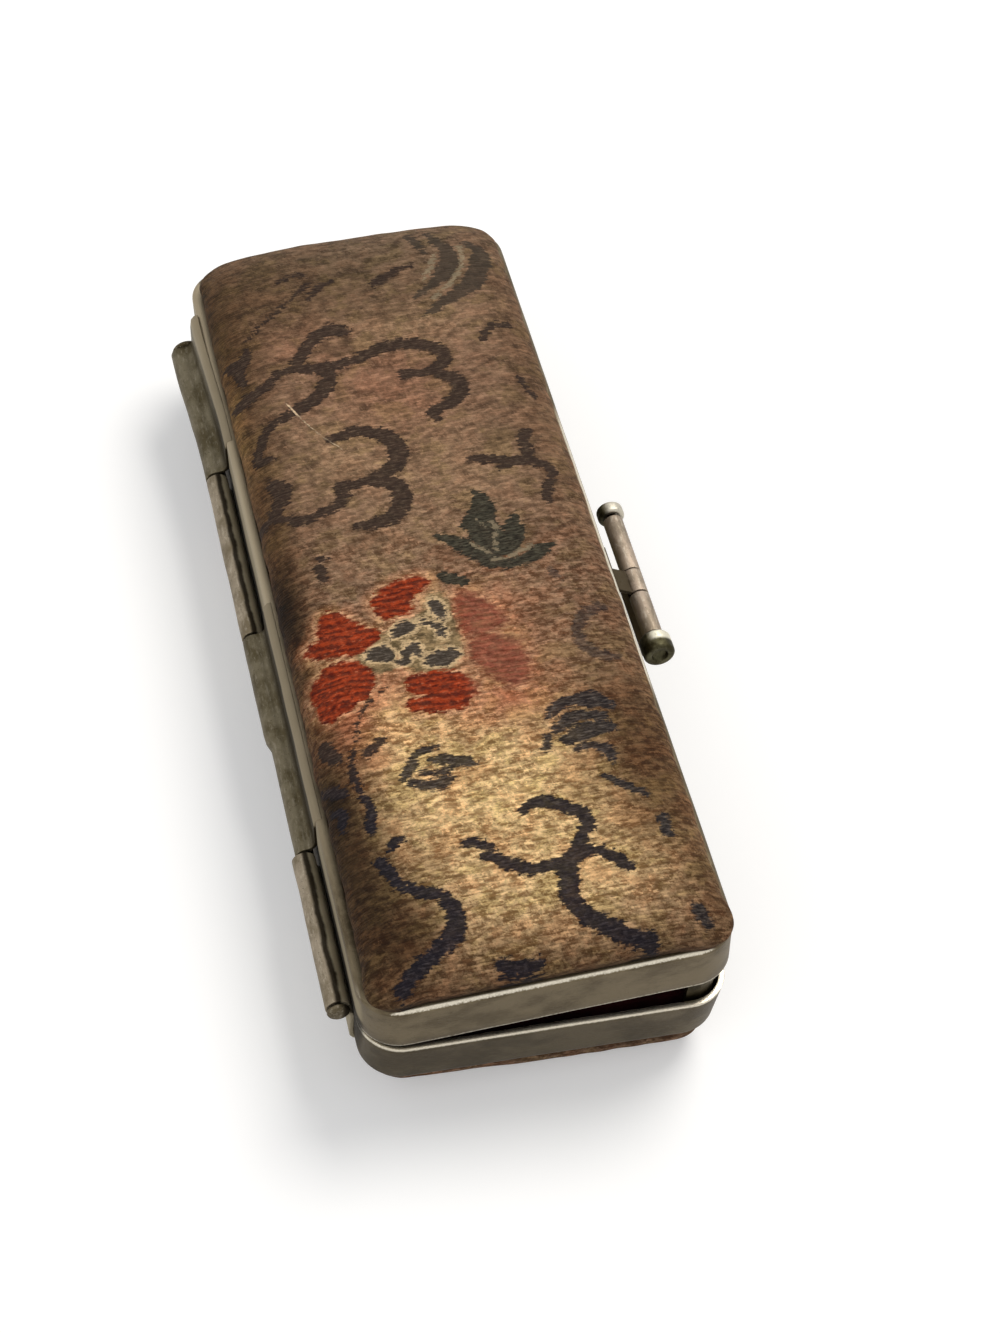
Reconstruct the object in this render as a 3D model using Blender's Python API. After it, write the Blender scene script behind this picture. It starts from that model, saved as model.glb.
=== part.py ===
"""Slim seal case: two padded brocade shells, each crimped into a nickel-silver band.

Metres, +Z up. X runs from the hinge side (-X) to the clasp side (+X) and Y along the case. The
origin is the middle of the flat underside. Every piece is drawn in the shut case, and the lid and
the latch are then turned to where they rest: the lid ajar, the latch swung clear of its catch.
"""
from collections import namedtuple
from math import cos, pi, radians, sin

import bmesh
import bpy
from mathutils import Vector

MM = 0.001

# Metal bands
WIDTH = 30.0 * MM
LENGTH = 85.0 * MM
CORNER_R = 3.4 * MM
BASE_BAND = 4.9 * MM
LID_BAND = 4.7 * MM
SHEET = 0.5 * MM
LIP = 0.9 * MM
EDGE_R = 0.65 * MM
RIM_GAP = 0.3 * MM

# Clearances between pieces that rest on each other, and between a pin and its bore
SEAT = 0.3 * MM
RUN = 0.10 * MM

# Padded domes: cloth, wadding and card, from the outside in
DOME = 3.8 * MM
SHOULDER = 1.0 * MM
OVERHANG = 0.25 * MM
NECK_RISE = 0.15 * MM
DOME_RUN = 6.0 * MM
DOME_CORNER = 2.7 * MM
CORNER_GROWTH = 0.5
SQUARENESS = 2.2
CLOTH = 0.5 * MM
CLOTH_FLANGE = 0.4 * MM
WADDING = 0.5 * MM
CARD = 0.5 * MM

# Upright strip inside the clasp side of the base
STRIP = 0.4 * MM
STRIP_HEIGHT = 2.0 * MM
STRIP_WRAP = 3.9 * MM

# Tray and lid liner
TRAY_DROP = 0.4 * MM
TRAY_FLOOR = 0.6 * MM
TROUGH_SETBACK = 6.5 * MM
WELL_R = 6.4 * MM
WELL_SETBACK = 4.2 * MM
WELL_DEPTH = 4.2 * MM
WELL_WEB = 0.9 * MM
DISH_WALL = 0.4 * MM
PAD_DROP = 0.6 * MM

# Side hinge
BARREL_R = 0.97 * MM
LEAF = 0.35 * MM
TAB = 2.6 * MM
TAB_BEND = 0.5 * MM
ROLL = 280.0
FAR_SETBACK = 5.3 * MM
NEAR_SETBACK = 4.0 * MM
KNUCKLE_SHARES = (0.227, 0.260, 0.316, 0.197)
KNUCKLE_GAP = 0.3 * MM
PIN_HEAD = 0.45 * MM
AJAR = 5.5

# Clasp, with lengths along the case measured from its middle
CLASP_SHEET = 0.33 * MM
SLEEVE_R = 0.88 * MM
STANDOFF = 2.85 * MM
CLASP_DROP = 1.0 * MM
CLASP_LENGTH = 17.6 * MM
FAR_CAP = 1.2 * MM
FAR_CAP_R = 1.1 * MM
NEAR_CAP = 2.1 * MM
NEAR_CAP_R = 1.4 * MM
CAP_SOCKET = 0.7 * MM
BRACKET_FAR = 0.9 * MM
BRACKET_NEAR = -1.9 * MM
BRACKET_TOP = 3.3 * MM
FLAP_FAR = 3.0 * MM
FLAP_SKIM = 0.03 * MM
LEVER_LENGTH = 2.15 * MM
HOOK_BITE = 0.5 * MM
CATCH_REACH = 0.85 * MM
CATCH_HEIGHT = 2.0 * MM
CATCH_SETBACK = 1.5 * MM
LATCH_OUT = 22.0

# Facets
CORNER_STEPS = 6
DOME_STEPS = 8
EDGE_STEPS = 3
ROLL_STEPS = 16
BEND_STEPS = 4
ROUND_STEPS = 20
TROUGH_STEPS = 32

Half = namedtuple("Half", "sign band")
BASE = Half(-1, BASE_BAND)
LID = Half(1, LID_BAND)

PART_Z = DOME + BASE_BAND
HINGE = Vector((-(WIDTH / 2 + SEAT + BARREL_R), 0, PART_Z))
LATCH = Vector((WIDTH / 2 + STANDOFF, 0, PART_Z - CLASP_DROP))
LAYERS = CLOTH + SEAT + WADDING + SEAT + CARD + SEAT
TROUGH_R = min(BASE_BAND, LID_BAND) + DOME - LAYERS - TRAY_FLOOR
TROUGH_NEAR = -LENGTH / 2 + TROUGH_SETBACK
WELL_Y = LENGTH / 2 - WELL_SETBACK - WELL_R
TROUGH_FAR = WELL_Y - WELL_R - WELL_WEB
TRAY_TOP = RIM_GAP / 2 + TRAY_DROP


def clear_scene():
    for obj in list(bpy.data.objects):
        bpy.data.objects.remove(obj, do_unlink=True)


def material(name, colour, roughness, metallic=0.0):
    mat = bpy.data.materials.new(name)
    mat.use_nodes = True
    shader = mat.node_tree.nodes["Principled BSDF"]
    shader.inputs["Base Color"].default_value = (*colour, 1.0)
    shader.inputs["Roughness"].default_value = roughness
    shader.inputs["Metallic"].default_value = metallic
    return mat


# Meshes

def add_object(name, bm, mat):
    """Turn a closed bmesh into a named object with its faces pointing out."""
    bmesh.ops.recalc_face_normals(bm, faces=bm.faces)
    mesh = bpy.data.meshes.new(name)
    bm.to_mesh(mesh)
    bm.free()
    mesh.shade_smooth()
    mesh.set_sharp_from_angle(angle=radians(35))
    if mat:
        mesh.materials.append(mat)
    obj = bpy.data.objects.new(name, mesh)
    bpy.context.scene.collection.objects.link(obj)
    return obj


def loft(name, rings, mat, cyclic=False):
    """Bridge rings of equally many points; the ends are capped, or joined to each other."""
    bm = bmesh.new()
    loops = [[bm.verts.new(point) for point in ring] for ring in rings]
    pairs = list(zip(loops, loops[1:]))
    if cyclic:
        pairs.append((loops[-1], loops[0]))
    else:
        bm.faces.new(loops[0])
        bm.faces.new(loops[-1])
    for lower, upper in pairs:
        for i in range(len(lower)):
            j = (i + 1) % len(lower)
            bm.faces.new((lower[i], lower[j], upper[j], upper[i]))
    return add_object(name, bm, mat)


def prism(name, outline, start, stop, place, mat):
    """Extrude a plane outline between two stations; place turns (u, v, station) into a point."""
    rings = [[place(u, v, station) for u, v in outline] for station in (start, stop)]
    return loft(name, rings, mat)


def along_y(x, z, station):
    return Vector((x, station, z))


def along_z(x, y, station):
    return Vector((x, y, station))


def turned(name, profile, place, mat):
    """Turn (station, radius) points about an axis; a radius of nought is a point on it."""
    bm = bmesh.new()
    loops = []
    for station, radius in profile:
        steps = ROUND_STEPS if radius > 0 else 1
        angles = [2 * pi * k / steps for k in range(steps)]
        loops.append([bm.verts.new(place(radius * cos(a), radius * sin(a), station)) for a in angles])
    for lower, upper in zip(loops, loops[1:]):
        for i in range(ROUND_STEPS):
            j = (i + 1) % ROUND_STEPS
            if len(lower) == 1:
                bm.faces.new((lower[0], upper[j], upper[i]))
            elif len(upper) == 1:
                bm.faces.new((lower[i], lower[j], upper[0]))
            else:
                bm.faces.new((lower[i], lower[j], upper[j], upper[i]))
    return add_object(name, bm, mat)


def cut(obj, cutter):
    """Take the cutter out of the object with a live Boolean."""
    cutter.hide_render = True
    cutter.display_type = "WIRE"
    modifier = obj.modifiers.new("cut_" + cutter.name, "BOOLEAN")
    modifier.operation = "DIFFERENCE"
    modifier.object = cutter


def arc(centre, radius, start, stop, steps):
    """Points on a circle from one angle to another, in degrees, both ends included."""
    angles = [radians(start + (stop - start) * k / steps) for k in range(steps + 1)]
    return [(centre[0] + radius * cos(a), centre[1] + radius * sin(a)) for a in angles]


def sheet_outline(path, thickness):
    """Outline of sheet metal bent along a plane path, mitred at the bends."""
    points = [Vector(point) for point in path]
    normals = []
    for here, there in zip(points, points[1:]):
        run = (there - here).normalized()
        normals.append(Vector((-run.y, run.x)))
    left, right = [], []
    for i, point in enumerate(points):
        before = normals[max(i - 1, 0)]
        after = normals[min(i, len(normals) - 1)]
        middle = (before + after).normalized()
        shift = middle * (thickness / 2 / middle.dot(after))
        left.append(point + shift)
        right.append(point - shift)
    return left + right[::-1]


# The outline that both halves share

def ring(half, inset, height, radius=None):
    """Rounded rectangle, set in from the band's outer face, at a height from the parting plane."""
    if radius is None:
        radius = CORNER_R - inset
    half_x = WIDTH / 2 - inset - radius
    half_y = LENGTH / 2 - inset - radius
    z = PART_Z + half.sign * height
    points = []
    for sign_x, sign_y, start in ((1, 1, 0), (-1, 1, 90), (-1, -1, 180), (1, -1, 270)):
        corner = arc((sign_x * half_x, sign_y * half_y), radius, start, start + 90, CORNER_STEPS)
        points.extend(Vector((x, y, z)) for x, y in corner)
    return points


def dome_rings(half, depth, first=0):
    """Rings of the pillow's rise, from its fullest line to its flat crown, a depth below the cloth."""
    rings = []
    for k in range(first, DOME_STEPS + 1):
        angle = pi / 2 * k / DOME_STEPS
        across = DOME_RUN * (1 - max(cos(angle), 0) ** (2 / SQUARENESS))
        rise = (DOME - SHOULDER) * sin(angle) ** (2 / SQUARENESS)
        inset = LIP - OVERHANG + depth + across
        height = half.band + SHOULDER - depth + rise
        rings.append(ring(half, inset, height, DOME_CORNER + CORNER_GROWTH * across))
    return rings


def cloth_flange_floor(half):
    return half.band - SHEET - SEAT - CLOTH_FLANGE


def card_flange_floor(half):
    return cloth_flange_floor(half) - SEAT - CARD


# Pieces that both halves have

def frame(name, half, mat):
    """Band of sheet metal, its edge turned in as a rounded lip that crimps the brocade."""
    rim = RIM_GAP / 2
    edge = arc((EDGE_R, half.band - EDGE_R), EDGE_R, 180, 90, EDGE_STEPS)
    profile = [(SHEET, rim), (0, rim), *edge, (LIP, half.band)]
    profile += [(LIP, half.band - SHEET), (SHEET, half.band - SHEET)]
    return loft(name, [ring(half, inset, height) for inset, height in profile], mat, cyclic=True)


def brocade(name, half, mat):
    """Cloth over the dome; it narrows to pass the lip and ends in a flange beneath it."""
    edge = SHEET + SEAT
    neck = LIP + SEAT
    floor = cloth_flange_floor(half)
    outer = [ring(half, edge, floor), ring(half, edge, floor + CLOTH_FLANGE)]
    outer += [ring(half, neck, floor + CLOTH_FLANGE), ring(half, neck, half.band + NECK_RISE)]
    outer += dome_rings(half, 0)
    inner = [ring(half, neck + CLOTH, floor), ring(half, neck + CLOTH, half.band)]
    inner += dome_rings(half, CLOTH)
    return loft(name, outer[::-1] + inner, mat)


def wadding(name, half, mat):
    """Thin wadding under the cloth; it stops short of the neck."""
    depth = CLOTH + SEAT
    outer = dome_rings(half, depth, first=1)
    inner = dome_rings(half, depth + WADDING, first=1)
    return loft(name, outer[::-1] + inner, mat)


def shell(name, half, mat):
    """Card former with a flange that carries the cloth's edge."""
    edge = SHEET + SEAT
    depth = LAYERS - SEAT - CARD
    inset = LIP - OVERHANG + depth
    floor = card_flange_floor(half)
    outer = [ring(half, edge, floor), ring(half, edge, floor + CARD)]
    outer += [ring(half, inset, floor + CARD)] + dome_rings(half, depth)
    inner = [ring(half, inset + CARD, floor)] + dome_rings(half, depth + CARD)
    return loft(name, outer[::-1] + inner, mat)


def block(name, half, mat):
    """Moulded block that fills a half from just below its rim down to the card."""
    edge = SHEET + SEAT + STRIP + SEAT
    shelf = card_flange_floor(half) - SEAT
    rings = [ring(half, edge, TRAY_TOP), ring(half, edge, shelf)]
    rings += [ring(half, LIP - OVERHANG + LAYERS, shelf)] + dome_rings(half, LAYERS)
    return loft(name, rings, mat)


def trough_cutter(name, far):
    """Round hollow for the seal, on an axis in the parting plane."""
    circle = arc((0, PART_Z), TROUGH_R, 0, 360 * (1 - 1 / TROUGH_STEPS), TROUGH_STEPS - 1)
    return prism(name, circle, TROUGH_NEAR, far, along_y, None)


def knuckle(name, half, near, far, mat):
    """Sheet tab on the band that bends out past the rim and rolls round the hinge pin."""
    radius = BARREL_R - LEAF / 2
    tab = HINGE.x + radius
    path = [(tab, TAB)]
    path += arc((tab - TAB_BEND, radius + TAB_BEND), TAB_BEND, 0, -90, BEND_STEPS)
    path += arc((HINGE.x, 0), radius, 90, 90 + ROLL, ROLL_STEPS)
    outline = [(x, PART_Z + half.sign * z) for x, z in sheet_outline(path, LEAF)]
    return prism(name, outline, near + KNUCKLE_GAP / 2, far - KNUCKLE_GAP / 2, along_y, mat)


def knuckle_stations():
    """Where the knuckles meet, from the far end of the hinge to the near one."""
    far = LENGTH / 2 - FAR_SETBACK - PIN_HEAD
    near = -LENGTH / 2 + NEAR_SETBACK + PIN_HEAD
    stations = [far]
    for share in KNUCKLE_SHARES:
        stations.append(stations[-1] - share * (far - near) / sum(KNUCKLE_SHARES))
    return stations


def hinge_pin(mat):
    """Pin with a peened head at each end."""
    stations = knuckle_stations()
    radius = BARREL_R - LEAF - RUN

    def head(end, side):
        return [(end + side * PIN_HEAD, 0), (end + side * PIN_HEAD * 0.8, BARREL_R * 0.55),
                (end + side * PIN_HEAD * 0.3, BARREL_R * 0.9), (end, BARREL_R * 0.9), (end, radius)]

    profile = head(stations[0], 1) + head(stations[-1], -1)[::-1]
    return turned("hinge_pin", profile, around_y(HINGE), mat)


def around_y(axis):
    """Place for a piece turned about a line along Y."""
    return lambda u, v, station: Vector((axis.x + u, station, axis.z + v))


def around_z(x, y):
    """Place for a piece turned about an upright line."""
    return lambda u, v, station: Vector((x + u, y + v, station))


# Pieces of the base

def inner_strip(mat):
    """Upright strip inside the clasp side; it turns both corners and stands above the rim."""
    def wrapped(inset):
        half_x = WIDTH / 2 - inset
        half_y = LENGTH / 2 - inset
        radius = CORNER_R - inset
        end_x = WIDTH / 2 - STRIP_WRAP
        near = arc((half_x - radius, -half_y + radius), radius, -90, 0, CORNER_STEPS)
        far = arc((half_x - radius, half_y - radius), radius, 0, 90, CORNER_STEPS)
        return [(end_x, -half_y), *near, *far, (end_x, half_y)]

    outline = wrapped(SHEET + SEAT) + wrapped(SHEET + SEAT + STRIP)[::-1]
    foot = PART_Z - card_flange_floor(BASE) + SEAT
    return prism("base_inner_strip", outline, foot, PART_Z + STRIP_HEIGHT, along_z, mat)


def tray(mat):
    """Base block with the seal's trough and the round well of the ink dish."""
    obj = block("base_tray", BASE, mat)
    cut(obj, trough_cutter("trough_cutter", TROUGH_FAR))
    profile = [(PART_Z - WELL_DEPTH, 0), (PART_Z - WELL_DEPTH, WELL_R), (PART_Z, WELL_R), (PART_Z, 0)]
    cut(obj, turned("well_cutter", profile, around_z(0, WELL_Y), None))
    return obj


def ink_dish(mat):
    radius = WELL_R - SEAT
    foot = PART_Z - WELL_DEPTH + SEAT
    rim = PART_Z - TRAY_TOP
    profile = [(foot, 0), (foot, radius), (rim, radius), (rim, radius - DISH_WALL)]
    profile += [(foot + DISH_WALL, radius - DISH_WALL), (foot + DISH_WALL, 0)]
    return turned("ink_dish", profile, around_z(0, WELL_Y), mat)


def ink_pad(mat):
    """Round pad with a slightly domed top."""
    radius = WELL_R - SEAT - DISH_WALL - SEAT
    foot = PART_Z - WELL_DEPTH + SEAT + DISH_WALL + SEAT
    top = PART_Z - TRAY_TOP - PAD_DROP
    profile = [(foot, 0), (foot, radius), (top - SEAT, radius), (top, radius * 0.7), (top, 0)]
    return turned("ink_pad", profile, around_z(0, WELL_Y), mat)


def catch(mat):
    """Angle strip on the base band, whose ledge the latch hook goes under."""
    x = WIDTH / 2 + SEAT + CLASP_SHEET / 2
    ledge = LATCH.z - LEVER_LENGTH + CLASP_SHEET + SEAT
    tip = WIDTH / 2 + SEAT + CLASP_SHEET + CATCH_REACH
    path = [(x, ledge - CATCH_HEIGHT), (x, ledge), (tip, ledge)]
    near = lever_ends()[0] + CATCH_SETBACK
    far = FLAP_FAR - CATCH_SETBACK
    return prism("base_catch", sheet_outline(path, CLASP_SHEET), near, far, along_y, mat)


# Clasp

def lever_ends():
    near = -CLASP_LENGTH / 2 + NEAR_CAP + KNUCKLE_GAP / 2
    far = CLASP_LENGTH / 2 - FAR_CAP - KNUCKLE_GAP / 2
    return near, far


def bracket(mat):
    """Plate on the lid's band that reaches out and rolls round the latch pin."""
    x = WIDTH / 2 + SEAT + CLASP_SHEET / 2
    radius = SLEEVE_R - CLASP_SHEET / 2
    top = LATCH.z + radius
    path = [(x, PART_Z + BRACKET_TOP), (x, top + STANDOFF * 0.42)]
    path += [(x + STANDOFF * 0.2, top + STANDOFF * 0.16), (x + STANDOFF * 0.5, top)]
    path += arc((LATCH.x, LATCH.z), radius, 90, 90 - ROLL, ROLL_STEPS)
    near = BRACKET_NEAR + KNUCKLE_GAP / 2
    far = BRACKET_FAR - KNUCKLE_GAP / 2
    return prism("clasp_bracket", sheet_outline(path, CLASP_SHEET), near, far, along_y, mat)


def lever(mat):
    """Sheet rolled into two sleeves; a flap hangs from the near one to a hook that points at the case."""
    radius = SLEEVE_R - CLASP_SHEET / 2
    tip = WIDTH / 2 + SEAT + CLASP_SHEET + CATCH_REACH - HOOK_BITE
    hook = LATCH.z - LEVER_LENGTH
    path = [(tip, hook), (LATCH.x - radius, hook)]
    path += arc((LATCH.x, LATCH.z), radius, 180, 180 - ROLL, ROLL_STEPS)
    near, far = lever_ends()
    obj = prism("latch_lever", sheet_outline(path, CLASP_SHEET), near, far, along_y, mat)
    cut(obj, lever_window())
    cut(obj, lever_relief())
    return obj


def lever_window():
    """Room in the lever for the bracket's knuckle."""
    reach = SLEEVE_R + SEAT
    low = LATCH.z - reach
    corners = [(LATCH.x - 2 * reach, low), (LATCH.x + 2 * reach, low)]
    corners += [(LATCH.x + 2 * reach, LATCH.z + 2 * reach), (LATCH.x - 2 * reach, LATCH.z + 2 * reach)]
    near = BRACKET_NEAR - KNUCKLE_GAP / 2
    far = BRACKET_FAR + KNUCKLE_GAP / 2
    return prism("lever_window", corners, near, far, along_y, None)


def lever_relief():
    """Room under the far sleeve, where the lever has no flap."""
    reach = LEVER_LENGTH + SLEEVE_R
    outline = arc((LATCH.x, LATCH.z), SLEEVE_R + FLAP_SKIM, 170, 270, 2 * BEND_STEPS)
    outline += [(LATCH.x, LATCH.z - reach), (LATCH.x - reach, LATCH.z - reach)]
    outline.append((LATCH.x - reach, outline[0][1]))
    return prism("lever_relief", outline, FLAP_FAR, lever_ends()[1] + SEAT, along_y, None)


def latch_pin(mat):
    """Plain pin that ends inside the two caps."""
    radius = SLEEVE_R - CLASP_SHEET - RUN
    near, far = lever_ends()
    reach = KNUCKLE_GAP + CAP_SOCKET - SEAT
    profile = [(far + reach, 0), (far + reach, radius), (near - reach, radius), (near - reach, 0)]
    return turned("latch_pin", profile, around_y(LATCH), mat)


def cap(name, end, side, length, radius, mat):
    """End knob with a rounded outer end and a blind socket for the pin."""
    socket = SLEEVE_R - CLASP_SHEET
    face = end - side * (length - KNUCKLE_GAP / 2)
    bend = min(radius * 0.4, length * 0.4)
    profile = [(end, 0), (end, radius - bend), (end - side * bend * 0.3, radius - bend * 0.3)]
    profile += [(end - side * bend, radius), (face, radius), (face, socket)]
    profile += [(face + side * CAP_SOCKET, socket), (face + side * CAP_SOCKET, 0)]
    return turned(name, profile, around_y(LATCH), mat)


# Assembly

def axis_empty(name, location, turn, parent=None):
    """Empty on a joint's axis, turned to the joint's place at rest; a positive turn opens."""
    empty = bpy.data.objects.new(name, None)
    bpy.context.scene.collection.objects.link(empty)
    empty.location = location
    empty.rotation_euler.y = -radians(turn)
    empty.parent = parent
    return empty


def hang(objects, empty, pivot):
    """Carry pieces drawn in the shut case by an empty whose place there is the pivot."""
    for obj in objects:
        obj.parent = empty
        obj.location = -pivot


def build_base(metal, worn_metal, cloth, filling, card, flock, brass, ink):
    stations = knuckle_stations()
    frame("base_frame", BASE, metal)
    shell("base_shell", BASE, card)
    wadding("base_padding", BASE, filling)
    brocade("base_brocade", BASE, cloth)
    inner_strip(metal)
    tray(flock)
    ink_dish(brass)
    ink_pad(ink)
    knuckle("base_knuckle_far", BASE, stations[2], stations[1], worn_metal)
    knuckle("base_knuckle_near", BASE, stations[4], stations[3], worn_metal)
    hinge_pin(worn_metal)
    catch(metal)


def build_lid(lid_axis, metal, worn_metal, cloth, filling, card, flock):
    stations = knuckle_stations()
    liner = block("lid_liner", LID, flock)
    cutter = trough_cutter("hollow_cutter", -TROUGH_NEAR)
    cut(liner, cutter)
    pieces = [
        liner,
        cutter,
        frame("lid_frame", LID, metal),
        shell("lid_shell", LID, card),
        wadding("lid_padding", LID, filling),
        brocade("lid_brocade", LID, cloth),
        knuckle("lid_knuckle_far", LID, stations[1], stations[0], worn_metal),
        knuckle("lid_knuckle_near", LID, stations[3], stations[2], worn_metal),
        bracket(metal),
    ]
    hang(pieces, lid_axis, HINGE)


def build_latch(latch_axis, metal, worn_metal):
    pieces = [
        lever(worn_metal),
        bpy.data.objects["lever_window"],
        bpy.data.objects["lever_relief"],
        latch_pin(metal),
        cap("latch_far_cap", CLASP_LENGTH / 2, 1, FAR_CAP, FAR_CAP_R, worn_metal),
        cap("latch_near_cap", -CLASP_LENGTH / 2, -1, NEAR_CAP, NEAR_CAP_R, worn_metal),
    ]
    hang(pieces, latch_axis, LATCH)


def main():
    clear_scene()
    metal = material("nickel_silver", (0.26, 0.23, 0.18), 0.42, 1.0)
    worn_metal = material("worn_nickel_silver", (0.36, 0.32, 0.25), 0.38, 1.0)
    cloth = material("brocade", (0.42, 0.27, 0.15), 0.8)
    filling = material("wadding", (0.80, 0.78, 0.72), 1.0)
    card = material("card", (0.45, 0.38, 0.28), 0.9)
    flock = material("flocked_tray", (0.10, 0.03, 0.03), 0.95)
    brass = material("dish_brass", (0.55, 0.42, 0.20), 0.35, 1.0)
    ink = material("vermilion_pad", (0.60, 0.04, 0.02), 0.7)
    lid_axis = axis_empty("lid_axis", HINGE, AJAR)
    latch_axis = axis_empty("latch_axis", LATCH - HINGE, LATCH_OUT, lid_axis)
    build_base(metal, worn_metal, cloth, filling, card, flock, brass, ink)
    build_lid(lid_axis, metal, worn_metal, cloth, filling, card, flock)
    build_latch(latch_axis, metal, worn_metal)


main()
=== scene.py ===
from math import cos, pi, radians, sin

import bmesh
import bpy
import numpy as np
from mathutils import Matrix, Vector


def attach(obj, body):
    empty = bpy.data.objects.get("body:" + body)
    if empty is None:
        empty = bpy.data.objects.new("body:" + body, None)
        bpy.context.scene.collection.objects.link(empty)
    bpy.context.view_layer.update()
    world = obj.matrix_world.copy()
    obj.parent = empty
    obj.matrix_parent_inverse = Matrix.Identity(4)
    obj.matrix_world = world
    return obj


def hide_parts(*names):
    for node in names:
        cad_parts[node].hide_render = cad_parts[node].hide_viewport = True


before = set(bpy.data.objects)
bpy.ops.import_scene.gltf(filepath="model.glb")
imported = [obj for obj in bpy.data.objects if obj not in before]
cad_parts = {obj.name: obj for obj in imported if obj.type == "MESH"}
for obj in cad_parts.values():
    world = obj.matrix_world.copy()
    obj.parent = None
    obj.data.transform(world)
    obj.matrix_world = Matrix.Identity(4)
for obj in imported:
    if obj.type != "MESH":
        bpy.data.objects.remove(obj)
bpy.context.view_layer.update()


# The case stands on a plain pale floor, by a soft window at its upper right. The camera looks
# down along it from its near left end.

view_turn, view_dip, view_roll = 0.3364, 0.8639, -0.1374
ahead = Vector((sin(view_turn) * cos(view_dip), cos(view_turn) * cos(view_dip), -sin(view_dip)))
level = Vector((cos(view_turn), -sin(view_turn), 0))
down = ahead.cross(level)
across = level * cos(view_roll) + down * sin(view_roll)
below = down * cos(view_roll) - level * sin(view_roll)
camera_place, focal_length = (-0.04516, -0.14748, 0.18424), 95.48


def adjust(block, **settings):
    for name, value in settings.items():
        setattr(block, name, value)
    return block


def place_object(name, data):
    obj = bpy.data.objects.new(name, data)
    bpy.context.scene.collection.objects.link(obj)
    return obj


camera = place_object("camera", adjust(
    bpy.data.cameras.new("camera"), sensor_fit="HORIZONTAL", sensor_width=36, lens=focal_length,
    clip_start=0.01))
camera.matrix_world = (Matrix.Translation(camera_place)
                       @ Matrix((across, -below, -ahead)).transposed().to_4x4())
bpy.context.scene.camera = camera
bpy.context.scene.view_settings.view_transform = "Standard"


def add_lamp(name, place, size, power, colour):
    """A round soft lamp turned towards the case."""
    lamp = adjust(bpy.data.lights.new(name, "AREA"), shape="DISK", size=size, energy=power,
                  color=colour)
    adjust(place_object(name, lamp), location=place,
           rotation_euler=(-Vector(place)).to_track_quat("-Z", "Y").to_euler())


add_lamp("window", (0.30, 0.20, 0.72), size=0.42, power=3.8, colour=(1.0, 0.97, 0.92))
add_lamp("room", (-0.45, -0.35, 0.55), size=0.6, power=0.9, colour=(0.95, 0.97, 1.0))


class Wire:
    """A socket of a finish. Plain arithmetic on it adds Math nodes."""

    def __init__(self, finish, socket):
        self.finish, self.socket = finish, socket

    def __add__(self, other):
        return self.finish.maths("ADD", self, other)

    __radd__ = __add__

    def __sub__(self, other):
        return self.finish.maths("SUBTRACT", self, other)

    def __rsub__(self, other):
        return self.finish.maths("SUBTRACT", other, self)

    def __mul__(self, other):
        return self.finish.maths("MULTIPLY", self, other)

    __rmul__ = __mul__

    def __truediv__(self, other):
        return self.finish.maths("DIVIDE", self, other)


class Finish:
    """A material made of nodes, with its fixed values written on the shader itself."""

    def __init__(self, name, **fixed):
        self.material = bpy.data.materials.new(name)
        self.material.use_nodes = True
        self.tree = self.material.node_tree
        self.shader = self.tree.nodes["Principled BSDF"]
        for socket, value in fixed.items():
            self.shader.inputs[socket.replace("_", " ")].default_value = value

    def feed(self, socket, value):
        if isinstance(value, Wire):
            self.tree.links.new(value.socket, socket)
        else:
            socket.default_value = value

    def node(self, kind, settings, inputs, output=0):
        node = adjust(self.tree.nodes.new("ShaderNode" + kind), **settings)
        for name, value in inputs.items():
            self.feed(node.inputs[name], value)
        return Wire(self, node.outputs[output])

    def maths(self, operation, *values):
        return self.node("Math", {"operation": operation}, dict(enumerate(values)))

    def attribute(self, name, output="Fac"):
        return self.node("Attribute", {"attribute_name": name}, {}, output)

    def shut_place(self):
        """Where each point of a piece lies in the shut case, in mm."""
        return self.attribute("shut_place", "Vector")

    def axes(self, place):
        """The three parts of a place: across the case, along it and up."""
        return [self.node("SeparateXYZ", {}, {0: place}, k) for k in range(3)]

    def times(self, vector, factors):
        return self.node("VectorMath", {"operation": "MULTIPLY"}, {0: vector, 1: factors})

    def noise(self, place, spots, detail, rough):
        """Noise with so many spots to a millimetre, across, along and up."""
        values = {"Vector": self.times(place, spots), "Scale": 1.0, "Detail": detail,
                  "Roughness": rough}
        return self.node("TexNoise", {}, values)

    def between(self, value, low, high):
        """0 at low and 1 at high, with a soft step between."""
        values = {"Value": value, "From Min": low, "From Max": high}
        return self.node("MapRange", {"interpolation_type": "SMOOTHSTEP"}, values)

    def mix(self, share, first, second):
        return self.node("Mix", {"data_type": "RGBA"}, {0: share, 6: first, 7: second}, 2)

    def tint(self, colour, tone, field, low, high, strength=1.0):
        """The colour, turned to another tone where a field goes from low to high."""
        return self.mix(self.between(field, low, high) * strength, colour, tone)

    def bump(self, height, depth):
        return self.node("Bump", {}, {"Strength": 1.0, "Distance": depth, "Height": height})

    def wear(self, **wires):
        """Link the values that vary over the surface to the shader."""
        for socket, wire in wires.items():
            self.feed(self.shader.inputs[socket.replace("_", " ")], wire)
        return self.material


def paint(red, green, blue):
    """A colour as seen, 0 to 255, turned into the shader's linear values."""
    return (*[(channel / 255) ** 2.2 for channel in (red, green, blue)], 1.0)


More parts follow.
